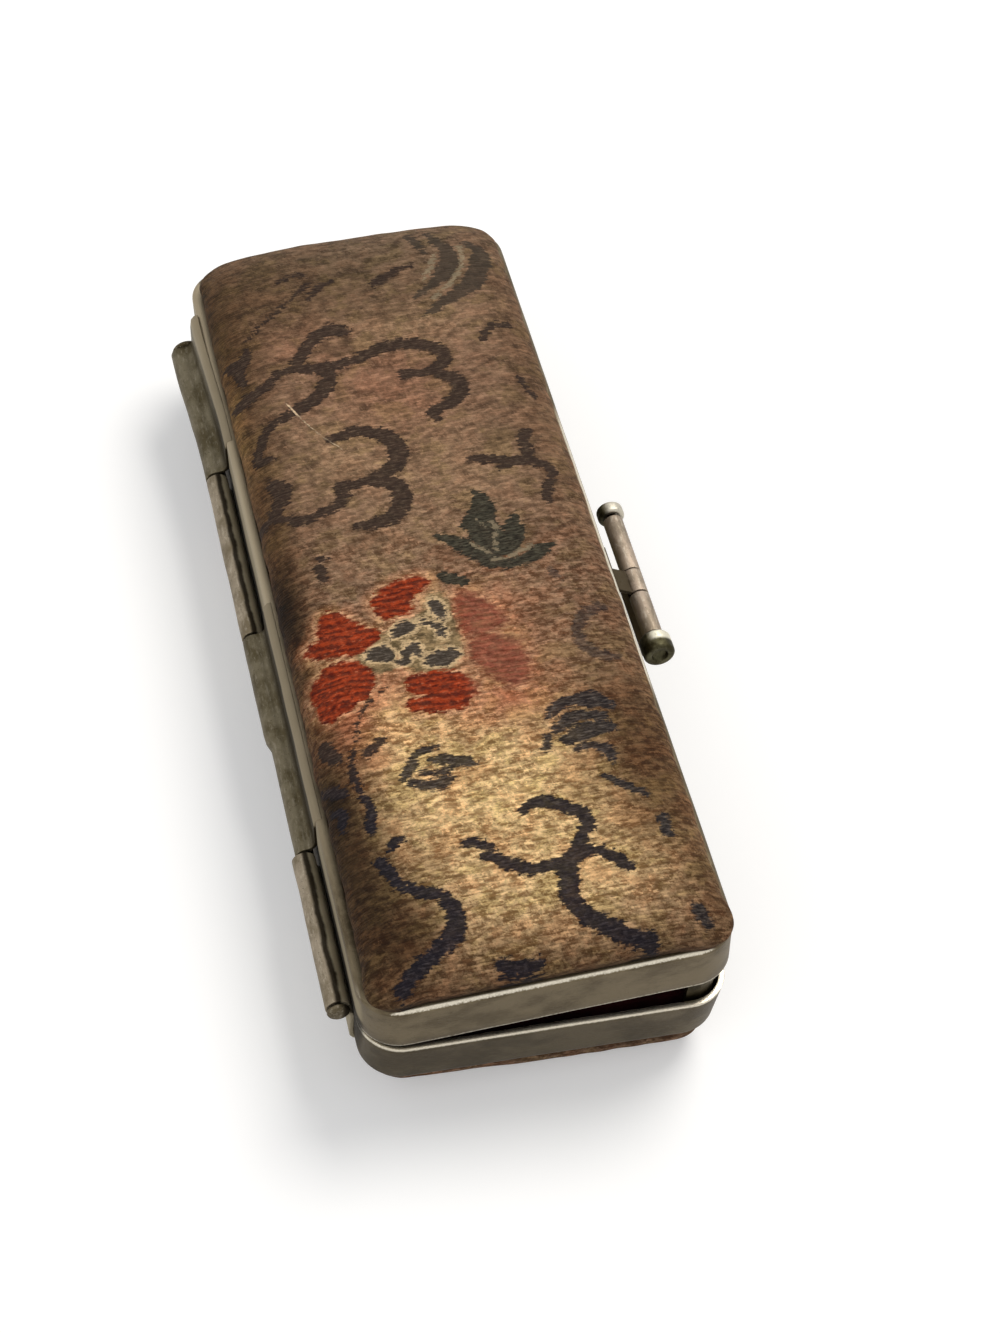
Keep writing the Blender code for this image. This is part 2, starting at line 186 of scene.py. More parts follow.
bpy.ops.object.select_all(action="DESELECT")
bpy.ops.mesh.primitive_plane_add(size=6)
floor = bpy.context.object
floor.name = "floor"
floor_finish = Finish("floor_paper", Roughness=1.0, Specular_IOR_Level=0.0,
                      Base_Color=(0.8, 0.8, 0.8, 1))
glow, room_light, room_seen = 0.3, 0.42, 1.0
sight = ("Is Camera Ray", "Is Transmission Ray", "Is Glossy Ray")
seen = sum(floor_finish.node("LightPath", {}, {}, ray) for ray in sight)
floor_glow = floor_finish.node("Emission", {}, {"Color": (1, 1, 1, 1), "Strength": seen * glow})
floor_sum = floor_finish.node(
    "AddShader", {}, {0: Wire(floor_finish, floor_finish.shader.outputs[0]), 1: floor_glow})
floor_finish.tree.links.new(
    floor_sum.socket, floor_finish.tree.nodes["Material Output"].inputs["Surface"])
floor.data.materials.append(floor_finish.material)

# The room is white where it is seen or mirrored, and lights the case with less than half of that.
world = bpy.data.worlds.new("room_light")
bpy.context.scene.world = world
world.use_nodes = True
room = world.node_tree
rays = room.nodes.new("ShaderNodeLightPath")
in_sight = rays.outputs[sight[0]]
for ray in sight[1:]:
    either = adjust(room.nodes.new("ShaderNodeMath"), operation="MAXIMUM")
    room.links.new(in_sight, either.inputs[0])
    room.links.new(rays.outputs[ray], either.inputs[1])
    in_sight = either.outputs[0]
strength = room.nodes.new("ShaderNodeMapRange")
strength.inputs["To Min"].default_value = room_light
strength.inputs["To Max"].default_value = room_seen
room.links.new(in_sight, strength.inputs["Value"])
room.links.new(strength.outputs[0], room.nodes["Background"].inputs["Strength"])
room.nodes["Background"].inputs["Color"].default_value = (1, 1, 1, 1)


# Band of the base: a strip of nickel silver drawn into an open box with rounded corners. Its lower
# edge is turned in as a rounded lip that crimps the brocade.

MM = 0.001
case_width, case_length, case_corner = 30 * MM, 85 * MM, 3.4 * MM
parting, rim_gap = 8.7 * MM, 0.15 * MM
sheet, lip = 0.5 * MM, 0.9 * MM
base_side, base_height, base_round, base_taper = -1, 4.9 * MM, 0.6 * MM, 0.28 * MM
corner_cuts, lip_cuts = 14, 6
half_width, half_length = case_width / MM / 2, case_length / MM / 2


def mode(name):
    bpy.ops.object.mode_set(mode=name)


def pick(kind, test):
    """Select just those faces or edges of the mesh in edit mode that pass a test."""
    bpy.ops.mesh.select_mode(type=kind)
    bpy.ops.mesh.select_all(action="DESELECT")
    mesh = bpy.context.edit_object.data
    bm = bmesh.from_edit_mesh(mesh)
    for element in bm.faces if kind == "FACE" else bm.edges:
        element.select_set(test(element))
    bmesh.update_edit_mesh(mesh)


def run(edge):
    """How far an edge reaches along each axis."""
    return [abs(a - b) for a, b in zip(edge.verts[0].co, edge.verts[1].co)]


def rounds_end(edge, axis):
    """Whether an edge lies between a side and an end that faces along an axis."""
    return {round(abs(face.normal[axis])) for face in edge.link_faces} == {0, 1}


def modify(obj, kind, **settings):
    """Add a modifier with its settings and apply it."""
    modifier = adjust(obj.modifiers.new(kind.lower(), kind), **settings)
    bpy.context.view_layer.objects.active = obj
    bpy.ops.object.modifier_apply(modifier=modifier.name)


def dent(obj, spacing, depth):
    """Slight hollows and swellings, as hand work leaves them."""
    clouds = adjust(bpy.data.textures.new(obj.name + "_dents", "CLOUDS"), noise_scale=spacing)
    modify(obj, "DISPLACE", texture=clouds, strength=depth, mid_level=0.5)


def soften(obj, width, segments, angle):
    """Round off every edge that is sharper than an angle."""
    modify(obj, "BEVEL", width=width, segments=segments, limit_method="ANGLE",
           angle_limit=radians(angle))


def start_cube(name, centre, size):
    bpy.ops.object.select_all(action="DESELECT")
    bpy.ops.mesh.primitive_cube_add(size=1, location=centre, scale=size)
    bpy.ops.object.transform_apply(location=True, rotation=True, scale=True)
    bpy.context.object.name = name
    return bpy.context.object


def keep(mesh, label, values, kind="FLOAT_VECTOR", field="vector"):
    """Keep values for each point on a mesh, for its finish to read."""
    mesh.attributes.new(label, kind, "POINT").data.foreach_set(field, values.ravel())


def settle(obj, body, slot, finish, *nodes, turn=None, angle=35):
    """Give a piece its finish and its place on the case, in place of its CAD node. Its points
    keep their place in the shut case, for the patterns to follow."""
    points = np.empty(len(obj.data.vertices) * 3)
    obj.data.vertices.foreach_get("co", points)
    keep(obj.data, "shut_place", points / MM)
    if turn:
        obj.data.transform(turn)
    obj.data.materials.clear()
    obj.data.materials.append(finish)
    bpy.ops.object.select_all(action="DESELECT")
    obj.select_set(True)
    bpy.context.view_layer.objects.active = obj
    bpy.ops.object.shade_smooth_by_angle(angle=radians(angle))
    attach(obj, body)
    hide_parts(*nodes)


def band(name, side, height, rounding, taper):
    """Open box with rounded corners and a lip turned in, cut finely enough to be uneven."""
    rim = parting + side * rim_gap
    edge = parting + side * height
    obj = start_cube(name, (0, 0, (rim + edge) / 2), (case_width, case_length, abs(edge - rim)))
    mode("EDIT")
    pick("FACE", lambda f: f.normal.z * side > 0.9)
    bpy.ops.transform.resize(value=(1 - 2 * taper / case_width, 1 - 2 * taper / case_length, 1))
    pick("EDGE", lambda e: run(e)[2] > MM)
    bpy.ops.mesh.bevel(offset=case_corner, segments=corner_cuts, affect="EDGES")
    pick("FACE", lambda f: f.normal.z * side < -0.9)
    bpy.ops.mesh.delete(type="ONLY_FACE")
    pick("FACE", lambda f: f.normal.z * side > 0.9)
    bpy.ops.mesh.inset(thickness=lip)
    bpy.ops.mesh.delete(type="ONLY_FACE")
    pick("EDGE", lambda e: rounds_end(e, 2))
    bpy.ops.mesh.bevel(offset=rounding, segments=lip_cuts, affect="EDGES")
    long_sides, ends, walls = (1, 40 * MM, 90), (0, 15 * MM, 28), (2, 2 * MM, 4)
    for axis, shortest, cuts in (long_sides, ends, walls):
        pick("EDGE", lambda e: run(e)[axis] > shortest)
        bpy.ops.mesh.subdivide(number_cuts=cuts)
    mode("OBJECT")
    dent(obj, spacing=0.009, depth=0.09 * MM)
    modify(obj, "SOLIDIFY", thickness=sheet, offset=-1, use_even_offset=True)
    soften(obj, width=0.07 * MM, segments=2, angle=50)
    return obj


def band_metal(name, height, tone, rim_wear_and_highlight, hinge_side_light):
    """Nickel silver, oxidised a dull olive grey and worn bright along its edges, the bright rim and
    lip partly a painted highlight. Its face by the hinge has painted shade with some dirt. With
    hinge_side_light, painted light pales the upper part of that face and its lip."""
    metal = Finish(name, Metallic=1.0)
    place = metal.shut_place()
    across, along, up = metal.axes(place)
    rise, lip_rise = metal.maths("ABSOLUTE", up - parting / MM), height / MM
    clouds = metal.noise(place, (0.22, 0.22, 0.4), 4, 0.6)
    brushed = metal.noise(place, (1.6, 1.6, 22), 3, 0.65)
    pits = metal.noise(place, (6, 6, 6), 3, 0.7)

    to_side = metal.maths("ABSOLUTE", across) - half_width
    to_end = metal.maths("ABSOLUTE", along) - half_length
    # Bright edges along the rim and the lip: partly wear, partly a painted highlight.
    rim_rub_and_highlight = 1 - metal.between(rise + pits * 0.5 - 0.25, rim_wear_and_highlight, rim_wear_and_highlight + 0.2)
    lip_rub_and_highlight = metal.between(rise + pits * 0.3 - 0.15, lip_rise - 0.3, lip_rise - 0.15)
    lip_rub_and_highlight = lip_rub_and_highlight * metal.between(metal.maths("MAXIMUM", to_side, to_end), -0.36, -0.2)
    by_clasp = metal.between(metal.maths("ABSOLUTE", along), 18, 14)
    handled = metal.maths("MAXIMUM", 1 - metal.between(along, -40.5, -38.5), by_clasp)
    handled = handled * (0.3 + 0.7 * metal.between(across, -14.6, -12.5))
    rub_and_highlight = metal.maths("MAXIMUM", rim_rub_and_highlight, lip_rub_and_highlight * handled) * (0.35 + 1.1 * pits)

    dim, middling, pale = (paint(*[channel * tone for channel in olive]) for olive in (
        (86, 76, 60), (110, 99, 80), (128, 116, 94)))
    colour = metal.tint(dim, middling, clouds, 0.38, 0.62)
    colour = metal.tint(colour, pale, brushed, 0.42, 0.72, 0.4)
    colour = metal.tint(colour, paint(50, 44, 32), pits, 0.6, 0.72, 0.55)
    # The bright nickel of the edges, partly a painted highlight.
    colour = metal.mix(rub_and_highlight, colour, paint(214, 205, 186))

    # Painted shade with some dirt on the face by the hinge, behind the knuckles, paler higher up as
    # painted light.
    by_hinge = metal.between(across, -14.6, -14.9)
    by_hinge = by_hinge * metal.between(rise, lip_rise - 0.3, lip_rise - 1.2)
    painted_light = metal.between(rise + clouds * 0.6, 1.2, 1.9) * hinge_side_light
    shade_and_grime = metal.mix(painted_light, paint(38, 32, 23), paint(168, 155, 128))
    colour = metal.mix(by_hinge * 0.85, colour, shade_and_grime)
    # Painted light on the lip along the hinge side.
    painted_lip_light = metal.between(across, -13.9, -14.2) * metal.between(along, -36, -8) * hinge_side_light
    colour = metal.tint(colour, paint(158, 145, 122), rise, lip_rise - 0.8, lip_rise - 0.4,
                        painted_lip_light)
    return metal.wear(Base_Color=colour, Metallic=1 - by_hinge * 0.9,
                      Roughness=0.47 - rub_and_highlight * 0.2 + clouds * 0.1 + by_hinge * 0.4,
                      Normal=metal.bump(brushed + pits * 0.8, 0.00002))


base_band = band("base_band", base_side, base_height, base_round, base_taper)
settle(base_band, "base", "band_metal",
       band_metal("base_band_metal", base_height, tone=0.83, rim_wear_and_highlight=0.3, hinge_side_light=0.0),
       "base_frame")


# Band of the lid: the same strip, a little lower, turned over. It turns on the hinge pin and rests
# ajar, so the lid's pieces are drawn shut and then lifted by the hinge's angle.

hinge = Vector((-16.27 * MM, 0, parting))
lid_side, lid_height, lid_round, ajar = 1, 4.7 * MM, 0.45 * MM, radians(5.5)
lid_turn = Matrix.Translation(hinge) @ Matrix.Rotation(-ajar, 4, "Y") @ Matrix.Translation(-hinge)
lid_band = band("lid_band", lid_side, lid_height, lid_round, 0.0)
settle(lid_band, "lid", "band_metal",
       band_metal("lid_band_metal", lid_height, tone=1.0, rim_wear_and_highlight=0.12, hinge_side_light=0.85),
       "lid_frame", turn=lid_turn)


# Brocade over the lid: silk woven with raised weft floats, drawn over a thin pad of wadding and
# crimped under the band's lip. Its motifs are dark scrolls, a leaf, a red flower and indigo sprigs.
# Its edges are darker, partly dirt and partly painted shade, and one thread has worked loose.

dome, shoulder, dome_run, dome_corner, squareness = 3.8, 1.0, 6.0, 2.7, 2.2
flat_inset, hem_depth, lid_play = 9, 0.45, 0.12
lid_top = lid_height / MM
long_points, short_points, corner_points = 250, 84, 22
lining_steps = (1, 4, 10, 16, 22, 28, 34, 39, 50, 60, -1)


def ramp(value, start, length):
    """0 up to the start, 1 after the length, and even in between."""
    return np.clip((value - start) / length, 0, 1)


def outline(inset, radius):
    """A rounded rectangle set in from the band's outer face, in mm, and its outward directions."""
    half_x = half_width - inset - radius
    half_y = half_length - inset - radius
    corners, loops, bearings = [], [], []
    for sx, sy, start in ((1, 1, 0), (-1, 1, 90), (-1, -1, 180), (1, -1, 270)):
        turn = np.radians(start + 90 * np.arange(corner_points + 1) / corner_points)
        way = np.stack([np.cos(turn), np.sin(turn)], 1)
        corners.append((np.array([sx * half_x, sy * half_y]) + radius * way, way))
    for k, (points, way) in enumerate(corners):
        loops.append(points)
        bearings.append(way)
        count = short_points if k % 2 == 0 else long_points
        share = np.arange(1, count)[:, None] / count
        loops.append(points[-1] + (corners[(k + 1) % 4][0][0] - points[-1]) * share)
        bearings.append(np.repeat(way[-1:], count - 1, 0))
    return np.concatenate(loops), np.concatenate(bearings)


def soft_bumps(points, size, seed):
    """Smooth bumps of about unit height: waves of about one size in seeded directions."""
    chance = np.random.default_rng(seed)
    total = np.zeros(len(points))
    for _ in range(10):
        way = chance.normal(size=points.shape[1])
        way /= np.linalg.norm(way)
        length = size * chance.uniform(0.7, 1.5)
        total += np.sin(points @ way * 2 * pi / length + chance.uniform(0, 6))
    return total / 3


def pillow_profile(top, crown):
    """Inset, rise and corner radius of each ring, from under the lip to the middle of the crown."""
    profile = [(1.75, top - 0.85, 1.9), (1.05, top - 0.8, 2.3), (0.97, top - 0.4, 2.4),
               (0.95, top, 2.5), (0.92, top + 0.15, 2.5), (0.83, top + 0.45, 2.6)]
    for angle in np.linspace(0.06, pi / 2, 34):
        swell = dome_run * (1 - max(cos(angle), 0.0) ** (2 / squareness))
        rise = (dome - shoulder) * sin(angle) ** (2 / squareness)
        profile.append((0.65 + swell, top + shoulder + rise, dome_corner + 0.5 * swell))
    full, radius = profile[-1][0], profile[-1][2]
    for share in np.linspace(0, 1, 34)[1:]:
        rise = top + dome + crown * (1 - (1 - share) ** 2)
        profile.append((full + (half_width - full) * share, rise, radius * (1 - share)))
    return np.array(profile)


def ring_mesh(name, points, around, order):
    """A mesh of quads from ring to ring of points, in the order given."""
    here = np.arange(around)
    after = (here + 1) % around
    faces = []
    for low, high in zip(order, order[1:]):
        low, high = low * around, high * around
        faces.append(np.stack([low + here, low + after, high + after, high + here], 1))
    mesh = bpy.data.meshes.new(name)
    mesh.from_pydata(points.tolist(), [], np.concatenate(faces).tolist())
    return mesh


def sew(mesh, closeness):
    """Join the points that are as good as equal, turn the faces outwards and give it an object."""
    bm = bmesh.new()
    bm.from_mesh(mesh)
    bmesh.ops.remove_doubles(bm, verts=bm.verts, dist=closeness)
    bmesh.ops.dissolve_degenerate(bm, dist=closeness, edges=bm.edges)
    bmesh.ops.recalc_face_normals(bm, faces=bm.faces)
    bm.to_mesh(mesh)
    bm.free()
    return place_object(mesh.name, mesh)


def pillow(name, side, top, crown, pull, sink=0.0, thick=0.5):
    """Closed skin of a padded shell, in mm over the rim. pull shifts its edge by its place."""
    profile = pillow_profile(top, crown)
    profile[:, 0] += sink * (profile[:, 0] < flat_inset)
    profile[:, 1] -= sink
    profile[:, 2] = np.maximum(profile[:, 2] - sink, 0)
    steps = np.linalg.norm(np.diff(profile[:, :2], axis=0), axis=1)
    travelled = np.concatenate([[0], np.cumsum(steps)])
    extra = (travelled[-1] - travelled) - (profile[-1, 0] - profile[:, 0])
    tangent = np.gradient(profile[:, :2], axis=0)
    tangent /= np.linalg.norm(tangent, axis=1)[:, None]
    skin, woven, outward = [], [], []
    for k, (inset, rise, radius) in enumerate(profile):
        loop, bearing = outline(inset, radius)
        skin.append(np.column_stack([loop, np.full(len(loop), rise)]))
        woven.append(loop + bearing * extra[k])
        rising = np.full(len(loop), tangent[k, 0])
        outward.append(np.column_stack([bearing * tangent[k, 1], rising]))
    count = len(skin[0])
    skin, woven, outward = (np.concatenate(part) for part in (skin, woven, outward))
    plan = skin[:, :2].copy()
    depth = np.repeat(travelled, count)
    bumps = soft_bumps(skin, 5.5, 4) * 0.03 + soft_bumps(skin, 16, 9) * 0.05
    bumps += soft_bumps(plan, 2.4, 2) * 0.05 * np.exp(-((depth - 2.2) / 1.8) ** 2)
    skin += outward * (bumps * ramp(depth, 1.4, 0.8))[:, None]
    skin += pull(plan, skin[:, 2] - top, depth)
    # The lid's crown may swell a little, and the base's lies flat on what it stands on.
    skin[:, 2] = np.minimum(skin[:, 2], top + dome + crown + lid_play * (side > 0))
    lining = []
    for inset, rise, radius in profile[list(lining_steps)]:
        tuck = hem_depth * (inset < flat_inset)
        loop, _ = outline(inset + tuck, max(radius - tuck, 0.0))
        lining.append(np.column_stack([loop, np.full(len(loop), rise - thick)]))
    points = np.concatenate([skin, *lining])
    points[:, 2] = parting / MM + side * points[:, 2]
    lining_rings = range(len(profile) + len(lining) - 1, len(profile) - 1, -1)
    mesh = ring_mesh(name, points * MM, count, [*lining_rings, *range(len(profile))])
    for label, values in (("woven", woven), ("plan", plan)):
        padded = np.zeros((len(points), 3))
        padded[:len(values), :2] = values
        keep(mesh, label, padded)
    keep(mesh, "from_edge", np.pad(depth, (0, len(points) - len(depth))), "FLOAT", "value")
    return sew(mesh, 0.0001 * MM)


def drawn(points, steps=7):
    """Points (x, y, half width) joined by a smooth stroke."""
    points = np.array(points, dtype=float)
    ends = np.vstack([2 * points[0] - points[1], points, 2 * points[-1] - points[-2]])
    share = np.linspace(0, 1, steps, endpoint=False)[:, None]
    runs = []
    for before, here, there, beyond in zip(ends, ends[1:], ends[2:], ends[3:]):
        runs.append(0.5 * (2 * here + (there - before) * share
                           + (2 * before - 5 * here + 4 * there - beyond) * share ** 2
                           + (3 * here - before - 3 * there + beyond) * share ** 3))
    return np.vstack([*runs, points[-1:]])


def reach_of(places, strokes):
    """Distance from each place to the nearest stroke's edge, below nought inside it."""
    nearest = np.full(len(places), 9.0)
    for stroke in strokes:
        for x, y, half in drawn(stroke):
            gap = np.hypot(places[:, 0] - x, places[:, 1] - y) - half
            nearest = np.minimum(nearest, gap)
    return nearest


# The motifs' strokes, in mm over the lid seen from above: x across it, y along it, and half the
# width of the stroke there.
scrolls = [
    [(-2.5, 27.3, 0.5), (-3.8, 27.8, 0.75), (-5.4, 27.0, 0.6), (-6.7, 25.4, 0.42), (-7.5, 24.3, 0.4),
     (-6.7, 23.4, 0.5), (-4.6, 23.2, 0.5), (-2.4, 23.5, 0.45), (-0.7, 24.2, 0.5), (1.2, 24.6, 0.55),
     (3.1, 24.4, 0.6), (4.8, 23.6, 0.62), (5.6, 22.4, 0.6), (5.2, 21.1, 0.55), (3.7, 20.5, 0.38),
     (1.8, 20.7, 0.5)],
    [(4.7, 20.1, 0.45), (6.0, 19.0, 0.6), (6.2, 17.6, 0.68), (5.4, 16.5, 0.62), (4.0, 15.8, 0.5),
     (3.2, 15.3, 0.5), (3.3, 14.6, 0.3)],
    [(-7.4, 24.0, 0.4), (-9.4, 23.4, 0.35), (-10.6, 22.3, 0.38), (-12.2, 21.7, 0.55),
     (-13.4, 21.2, 0.58)],
    [(-5.0, 23.0, 0.5), (-5.0, 21.8, 0.62), (-5.6, 20.6, 0.66), (-6.8, 19.5, 0.6), (-7.9, 18.9, 0.55),
     (-8.8, 18.4, 0.4), (-10.2, 17.7, 0.27), (-11.7, 16.8, 0.27), (-12.4, 15.6, 0.3),
     (-12.9, 14.4, 0.28), (-12.9, 13.8, 0.3), (-11.7, 13.6, 0.25)],
    [(-6.3, 14.3, 0.3), (-5.0, 14.6, 0.42), (-3.6, 14.7, 0.5), (-2.1, 14.0, 0.62), (-1.1, 12.9, 0.75),
     (-0.8, 11.6, 0.78), (-1.1, 10.3, 0.7), (-2.0, 9.4, 0.6), (-3.4, 8.8, 0.45), (-5.0, 8.4, 0.42),
     (-6.8, 8.7, 0.3)],
    [(-6.5, 8.3, 0.4), (-6.4, 7.3, 0.42), (-7.4, 6.3, 0.36), (-8.8, 5.8, 0.34), (-10.5, 5.5, 0.34),
     (-11.9, 6.3, 0.32), (-12.9, 7.0, 0.36), (-14.4, 6.4, 0.4)],
    [(-3.8, 8.4, 0.4), (-2.2, 7.9, 0.6), (-1.6, 6.9, 0.72), (-1.7, 5.7, 0.78), (-2.2, 4.6, 0.72),
     (-3.3, 3.7, 0.6), (-4.8, 3.5, 0.5), (-5.8, 3.6, 0.35)],
    [(-13.4, 26.2, 0.45), (-12.4, 26.0, 0.62), (-11.5, 27.4, 0.2)],
    [(-12.8, 25.4, 0.4), (-12.6, 23.6, 0.25)],
    [(10.2, 24.7, 0.25), (11.2, 25.3, 0.3), (12.3, 25.2, 0.25)],
    [(10.0, 24.4, 0.25), (9.7, 23.6, 0.2)],
    [(1.5, 33.0, 0.35), (2.6, 33.7, 0.42), (4.0, 34.3, 0.22), (5.2, 34.6, 0.15)],
    [(-11.4, 28.6, 0.1), (-9.0, 30.6, 0.13), (-6.5, 32.8, 0.1), (-4.6, 34.4, 0.17)],
    [(-7.2, 35.4, 0.12), (-5.6, 35.9, 0.22), (-4.6, 35.4, 0.1)],
    [(-5.0, 32.2, 0.1), (-4.2, 33.2, 0.2), (-3.4, 33.9, 0.17), (-2.4, 34.2, 0.1)],
    [(11.8, 18.2, 0.22), (12.0, 17.4, 0.25)],
    [(12.2, 16.6, 0.15), (12.5, 16.0, 0.2)],
    [(4.9, 9.2, 0.15), (6.0, 9.0, 0.36), (7.3, 8.7, 0.42), (8.6, 8.1, 0.4), (10.0, 8.2, 0.4),
     (10.3, 9.4, 0.38), (10.2, 10.5, 0.45), (10.8, 11.3, 0.38)],
    [(7.7, 7.6, 0.3), (9.2, 7.9, 0.4), (10.9, 7.5, 0.4), (11.8, 6.7, 0.38), (11.6, 5.6, 0.3)],
    [(11.2, 4.9, 0.34), (10.7, 3.8, 0.3), (10.7, 2.9, 0.2)],
    [(-12.2, 10.6, 0.5), (-11.6, 9.6, 0.8), (-11.9, 8.4, 0.6), (-12.9, 7.2, 0.4)],
    [(-10.0, -0.2, 0.32), (-9.9, -1.6, 0.28)],
    [(-9.8, 0.7, 0.22), (-9.2, 0.5, 0.15)],
    [(-7.2, -14.3, 0.01), (-8.8, -15.4, 0.03), (-10.0, -16.8, 0.04), (-10.6, -18.6, 0.04),
     (-11.4, -21.0, 0.14), (-11.5, -22.8, 0.22), (-11.2, -24.2, 0.2), (-10.8, -25.9, 0.3),
     (-11.2, -27.6, 0.36)],
    [(-10.1, -20.4, 0.28), (-9.2, -19.9, 0.3), (-8.6, -19.4, 0.22)],
    [(-13.2, -18.6, 0.5), (-12.6, -20.0, 0.45)],
    [(-10.2, -29.9, 0.22), (-9.5, -29.4, 0.25), (-8.9, -29.3, 0.15)],
    [(-11.2, -30.8, 0.35), (-10.5, -32.3, 0.4), (-10.0, -33.5, 0.4), (-8.7, -34.4, 0.45),
     (-7.2, -35.2, 0.42), (-6.6, -36.3, 0.55), (-6.6, -37.4, 0.6), (-6.9, -38.5, 0.6),
     (-8.3, -39.4, 0.55), (-10.0, -40.3, 0.45), (-11.5, -41.2, 0.4)],
    [(-4.2, -30.8, 0.35), (-3.3, -31.2, 0.4), (-2.5, -31.9, 0.3)],
    [(-3.2, -32.3, 0.25), (-2.3, -32.8, 0.42), (-1.4, -33.6, 0.46), (0.0, -34.3, 0.46),
     (1.5, -34.4, 0.4), (3.0, -34.2, 0.55), (4.3, -33.6, 0.6), (5.6, -33.8, 0.4), (6.7, -34.7, 0.42),
     (7.7, -35.9, 0.32)],
    [(0.7, -29.0, 0.3), (1.4, -28.5, 0.4), (2.6, -28.4, 0.48), (3.9, -29.1, 0.5), (5.1, -30.0, 0.52),
     (5.4, -31.2, 0.55), (4.6, -32.3, 0.45), (4.2, -33.2, 0.5)],
    [(3.0, -34.4, 0.7), (2.7, -36.0, 0.7), (2.5, -37.4, 0.65), (3.1, -38.9, 0.6), (4.5, -39.9, 0.55),
     (6.0, -40.8, 0.5), (7.8, -41.5, 0.4)],
    [(-4.0, -41.2, 0.35), (-2.4, -41.5, 0.3), (-1.0, -41.4, 0.2)],
    [(-14.0, -22.3, 0.25), (-13.2, -22.9, 0.4), (-12.4, -23.6, 0.15)],
    [(-13.8, -24.6, 0.2), (-13.1, -25.2, 0.3), (-13.4, -26.6, 0.15)],
]
leaf = [
    [(5.9, 38.8, 0.45), (6.4, 37.4, 0.35), (7.0, 36.0, 0.15)],
    [(7.8, 39.0, 0.3), (8.3, 37.4, 0.5), (9.0, 36.0, 0.7), (8.9, 34.4, 0.85), (8.1, 33.0, 0.9),
     (7.0, 31.8, 0.45), (5.6, 30.8, 0.3), (4.7, 30.2, 0.15)],
    [(11.0, 37.0, 0.4), (12.0, 35.8, 0.6), (11.8, 34.3, 0.9), (11.3, 32.9, 0.85), (10.6, 31.5, 0.9),
     (9.5, 30.4, 0.75), (8.2, 29.6, 0.6), (6.9, 28.8, 0.42), (5.9, 28.1, 0.28), (5.0, 27.5, 0.14)],
    [(4.7, 5.1, 0.2), (4.9, 4.1, 0.7), (4.9, 3.0, 0.95), (4.3, 1.6, 1.2), (4.6, 0.2, 1.4),
     (4.9, -1.2, 1.2)],
    [(0.4, 1.0, 0.15), (1.3, 0.3, 0.55), (2.3, -0.6, 0.75), (3.4, -1.8, 0.8), (4.4, -2.8, 0.8)],
    [(7.4, 1.6, 0.25), (7.0, 0.7, 0.7), (6.6, -0.5, 0.95), (6.0, -1.6, 0.9)],
    [(4.0, -2.8, 0.6), (5.2, -3.3, 0.6), (6.8, -3.4, 0.5), (8.2, -2.8, 0.7), (9.2, -2.3, 0.45),
     (9.9, -2.1, 0.1)],
    [(4.4, 2.6, 0.7), (3.2, 2.0, 0.35), (2.8, 1.6, 0.2)],
    [(-0.4, -3.5, 0.3), (0.5, -4.1, 0.55), (1.5, -4.6, 0.35)],
]
veins = [
    [(5.3, 1.5, 0.12), (5.5, 0.4, 0.22), (5.1, -0.6, 0.2), (4.9, -1.8, 0.14)],
    [(2.9, -0.4, 0.12), (3.7, -1.2, 0.2), (4.4, -2.1, 0.14)],
    [(4.4, -2.8, 0.16), (5.6, -2.8, 0.22), (7.0, -2.3, 0.22), (8.0, -1.9, 0.12)],
    [(4.1, 2.0, 0.1), (4.6, 1.2, 0.18)],
    [(10.2, 36.4, 0.3), (10.1, 34.4, 0.25), (9.2, 32.4, 0.25), (7.9, 31.0, 0.25), (6.4, 29.7, 0.2)],
    [(7.6, 35.6, 0.3), (7.0, 34.0, 0.3), (6.0, 32.6, 0.3)],
]
petals = [
    [(-5.9, -5.3, 0.5), (-4.5, -4.7, 0.9), (-3.0, -4.1, 0.8), (-2.0, -3.9, 0.4)],
    [(-5.6, -6.4, 0.5), (-4.2, -6.2, 0.6)],
    [(-10.4, -6.0, 0.5), (-10.0, -7.2, 1.3), (-9.4, -8.4, 1.5), (-8.2, -8.6, 1.0), (-7.2, -8.6, 0.4)],
    [(-12.2, -8.7, 0.5), (-10.6, -8.8, 0.9)],
    [(-11.0, -11.8, 0.9), (-11.2, -13.2, 1.8), (-10.2, -13.0, 1.9), (-11.8, -14.8, 1.0),
     (-12.2, -15.6, 0.4)],
    [(-4.6, -14.6, 0.7), (-3.2, -14.9, 1.2), (-1.9, -15.3, 1.2), (-1.0, -15.9, 0.8)],
    [(-5.2, -16.6, 0.5), (-3.4, -16.9, 0.6), (-1.8, -17.1, 0.5)],
    [(1.2, -6.7, 0.7), (1.5, -7.8, 1.3), (2.0, -8.9, 1.4), (1.2, -9.6, 0.9)],
    [(3.1, -8.6, 0.5), (3.5, -9.5, 0.3)],
    [(1.6, -11.6, 0.9), (2.4, -12.8, 1.8), (3.0, -14.2, 1.6), (3.2, -15.4, 0.9)],
]
eye = [
    [(-1.2, -5.9, 0.5), (-1.3, -7.4, 1.0), (-2.3, -8.8, 1.5), (-3.6, -10.2, 1.9), (-3.4, -11.6, 1.7),
     (-2.4, -12.5, 1.2)],
    [(-5.4, -9.3, 0.9), (-7.2, -10.6, 1.5), (-6.8, -11.6, 0.9)],
    [(-0.9, -9.0, 0.7), (-0.9, -11.0, 0.6)],
]
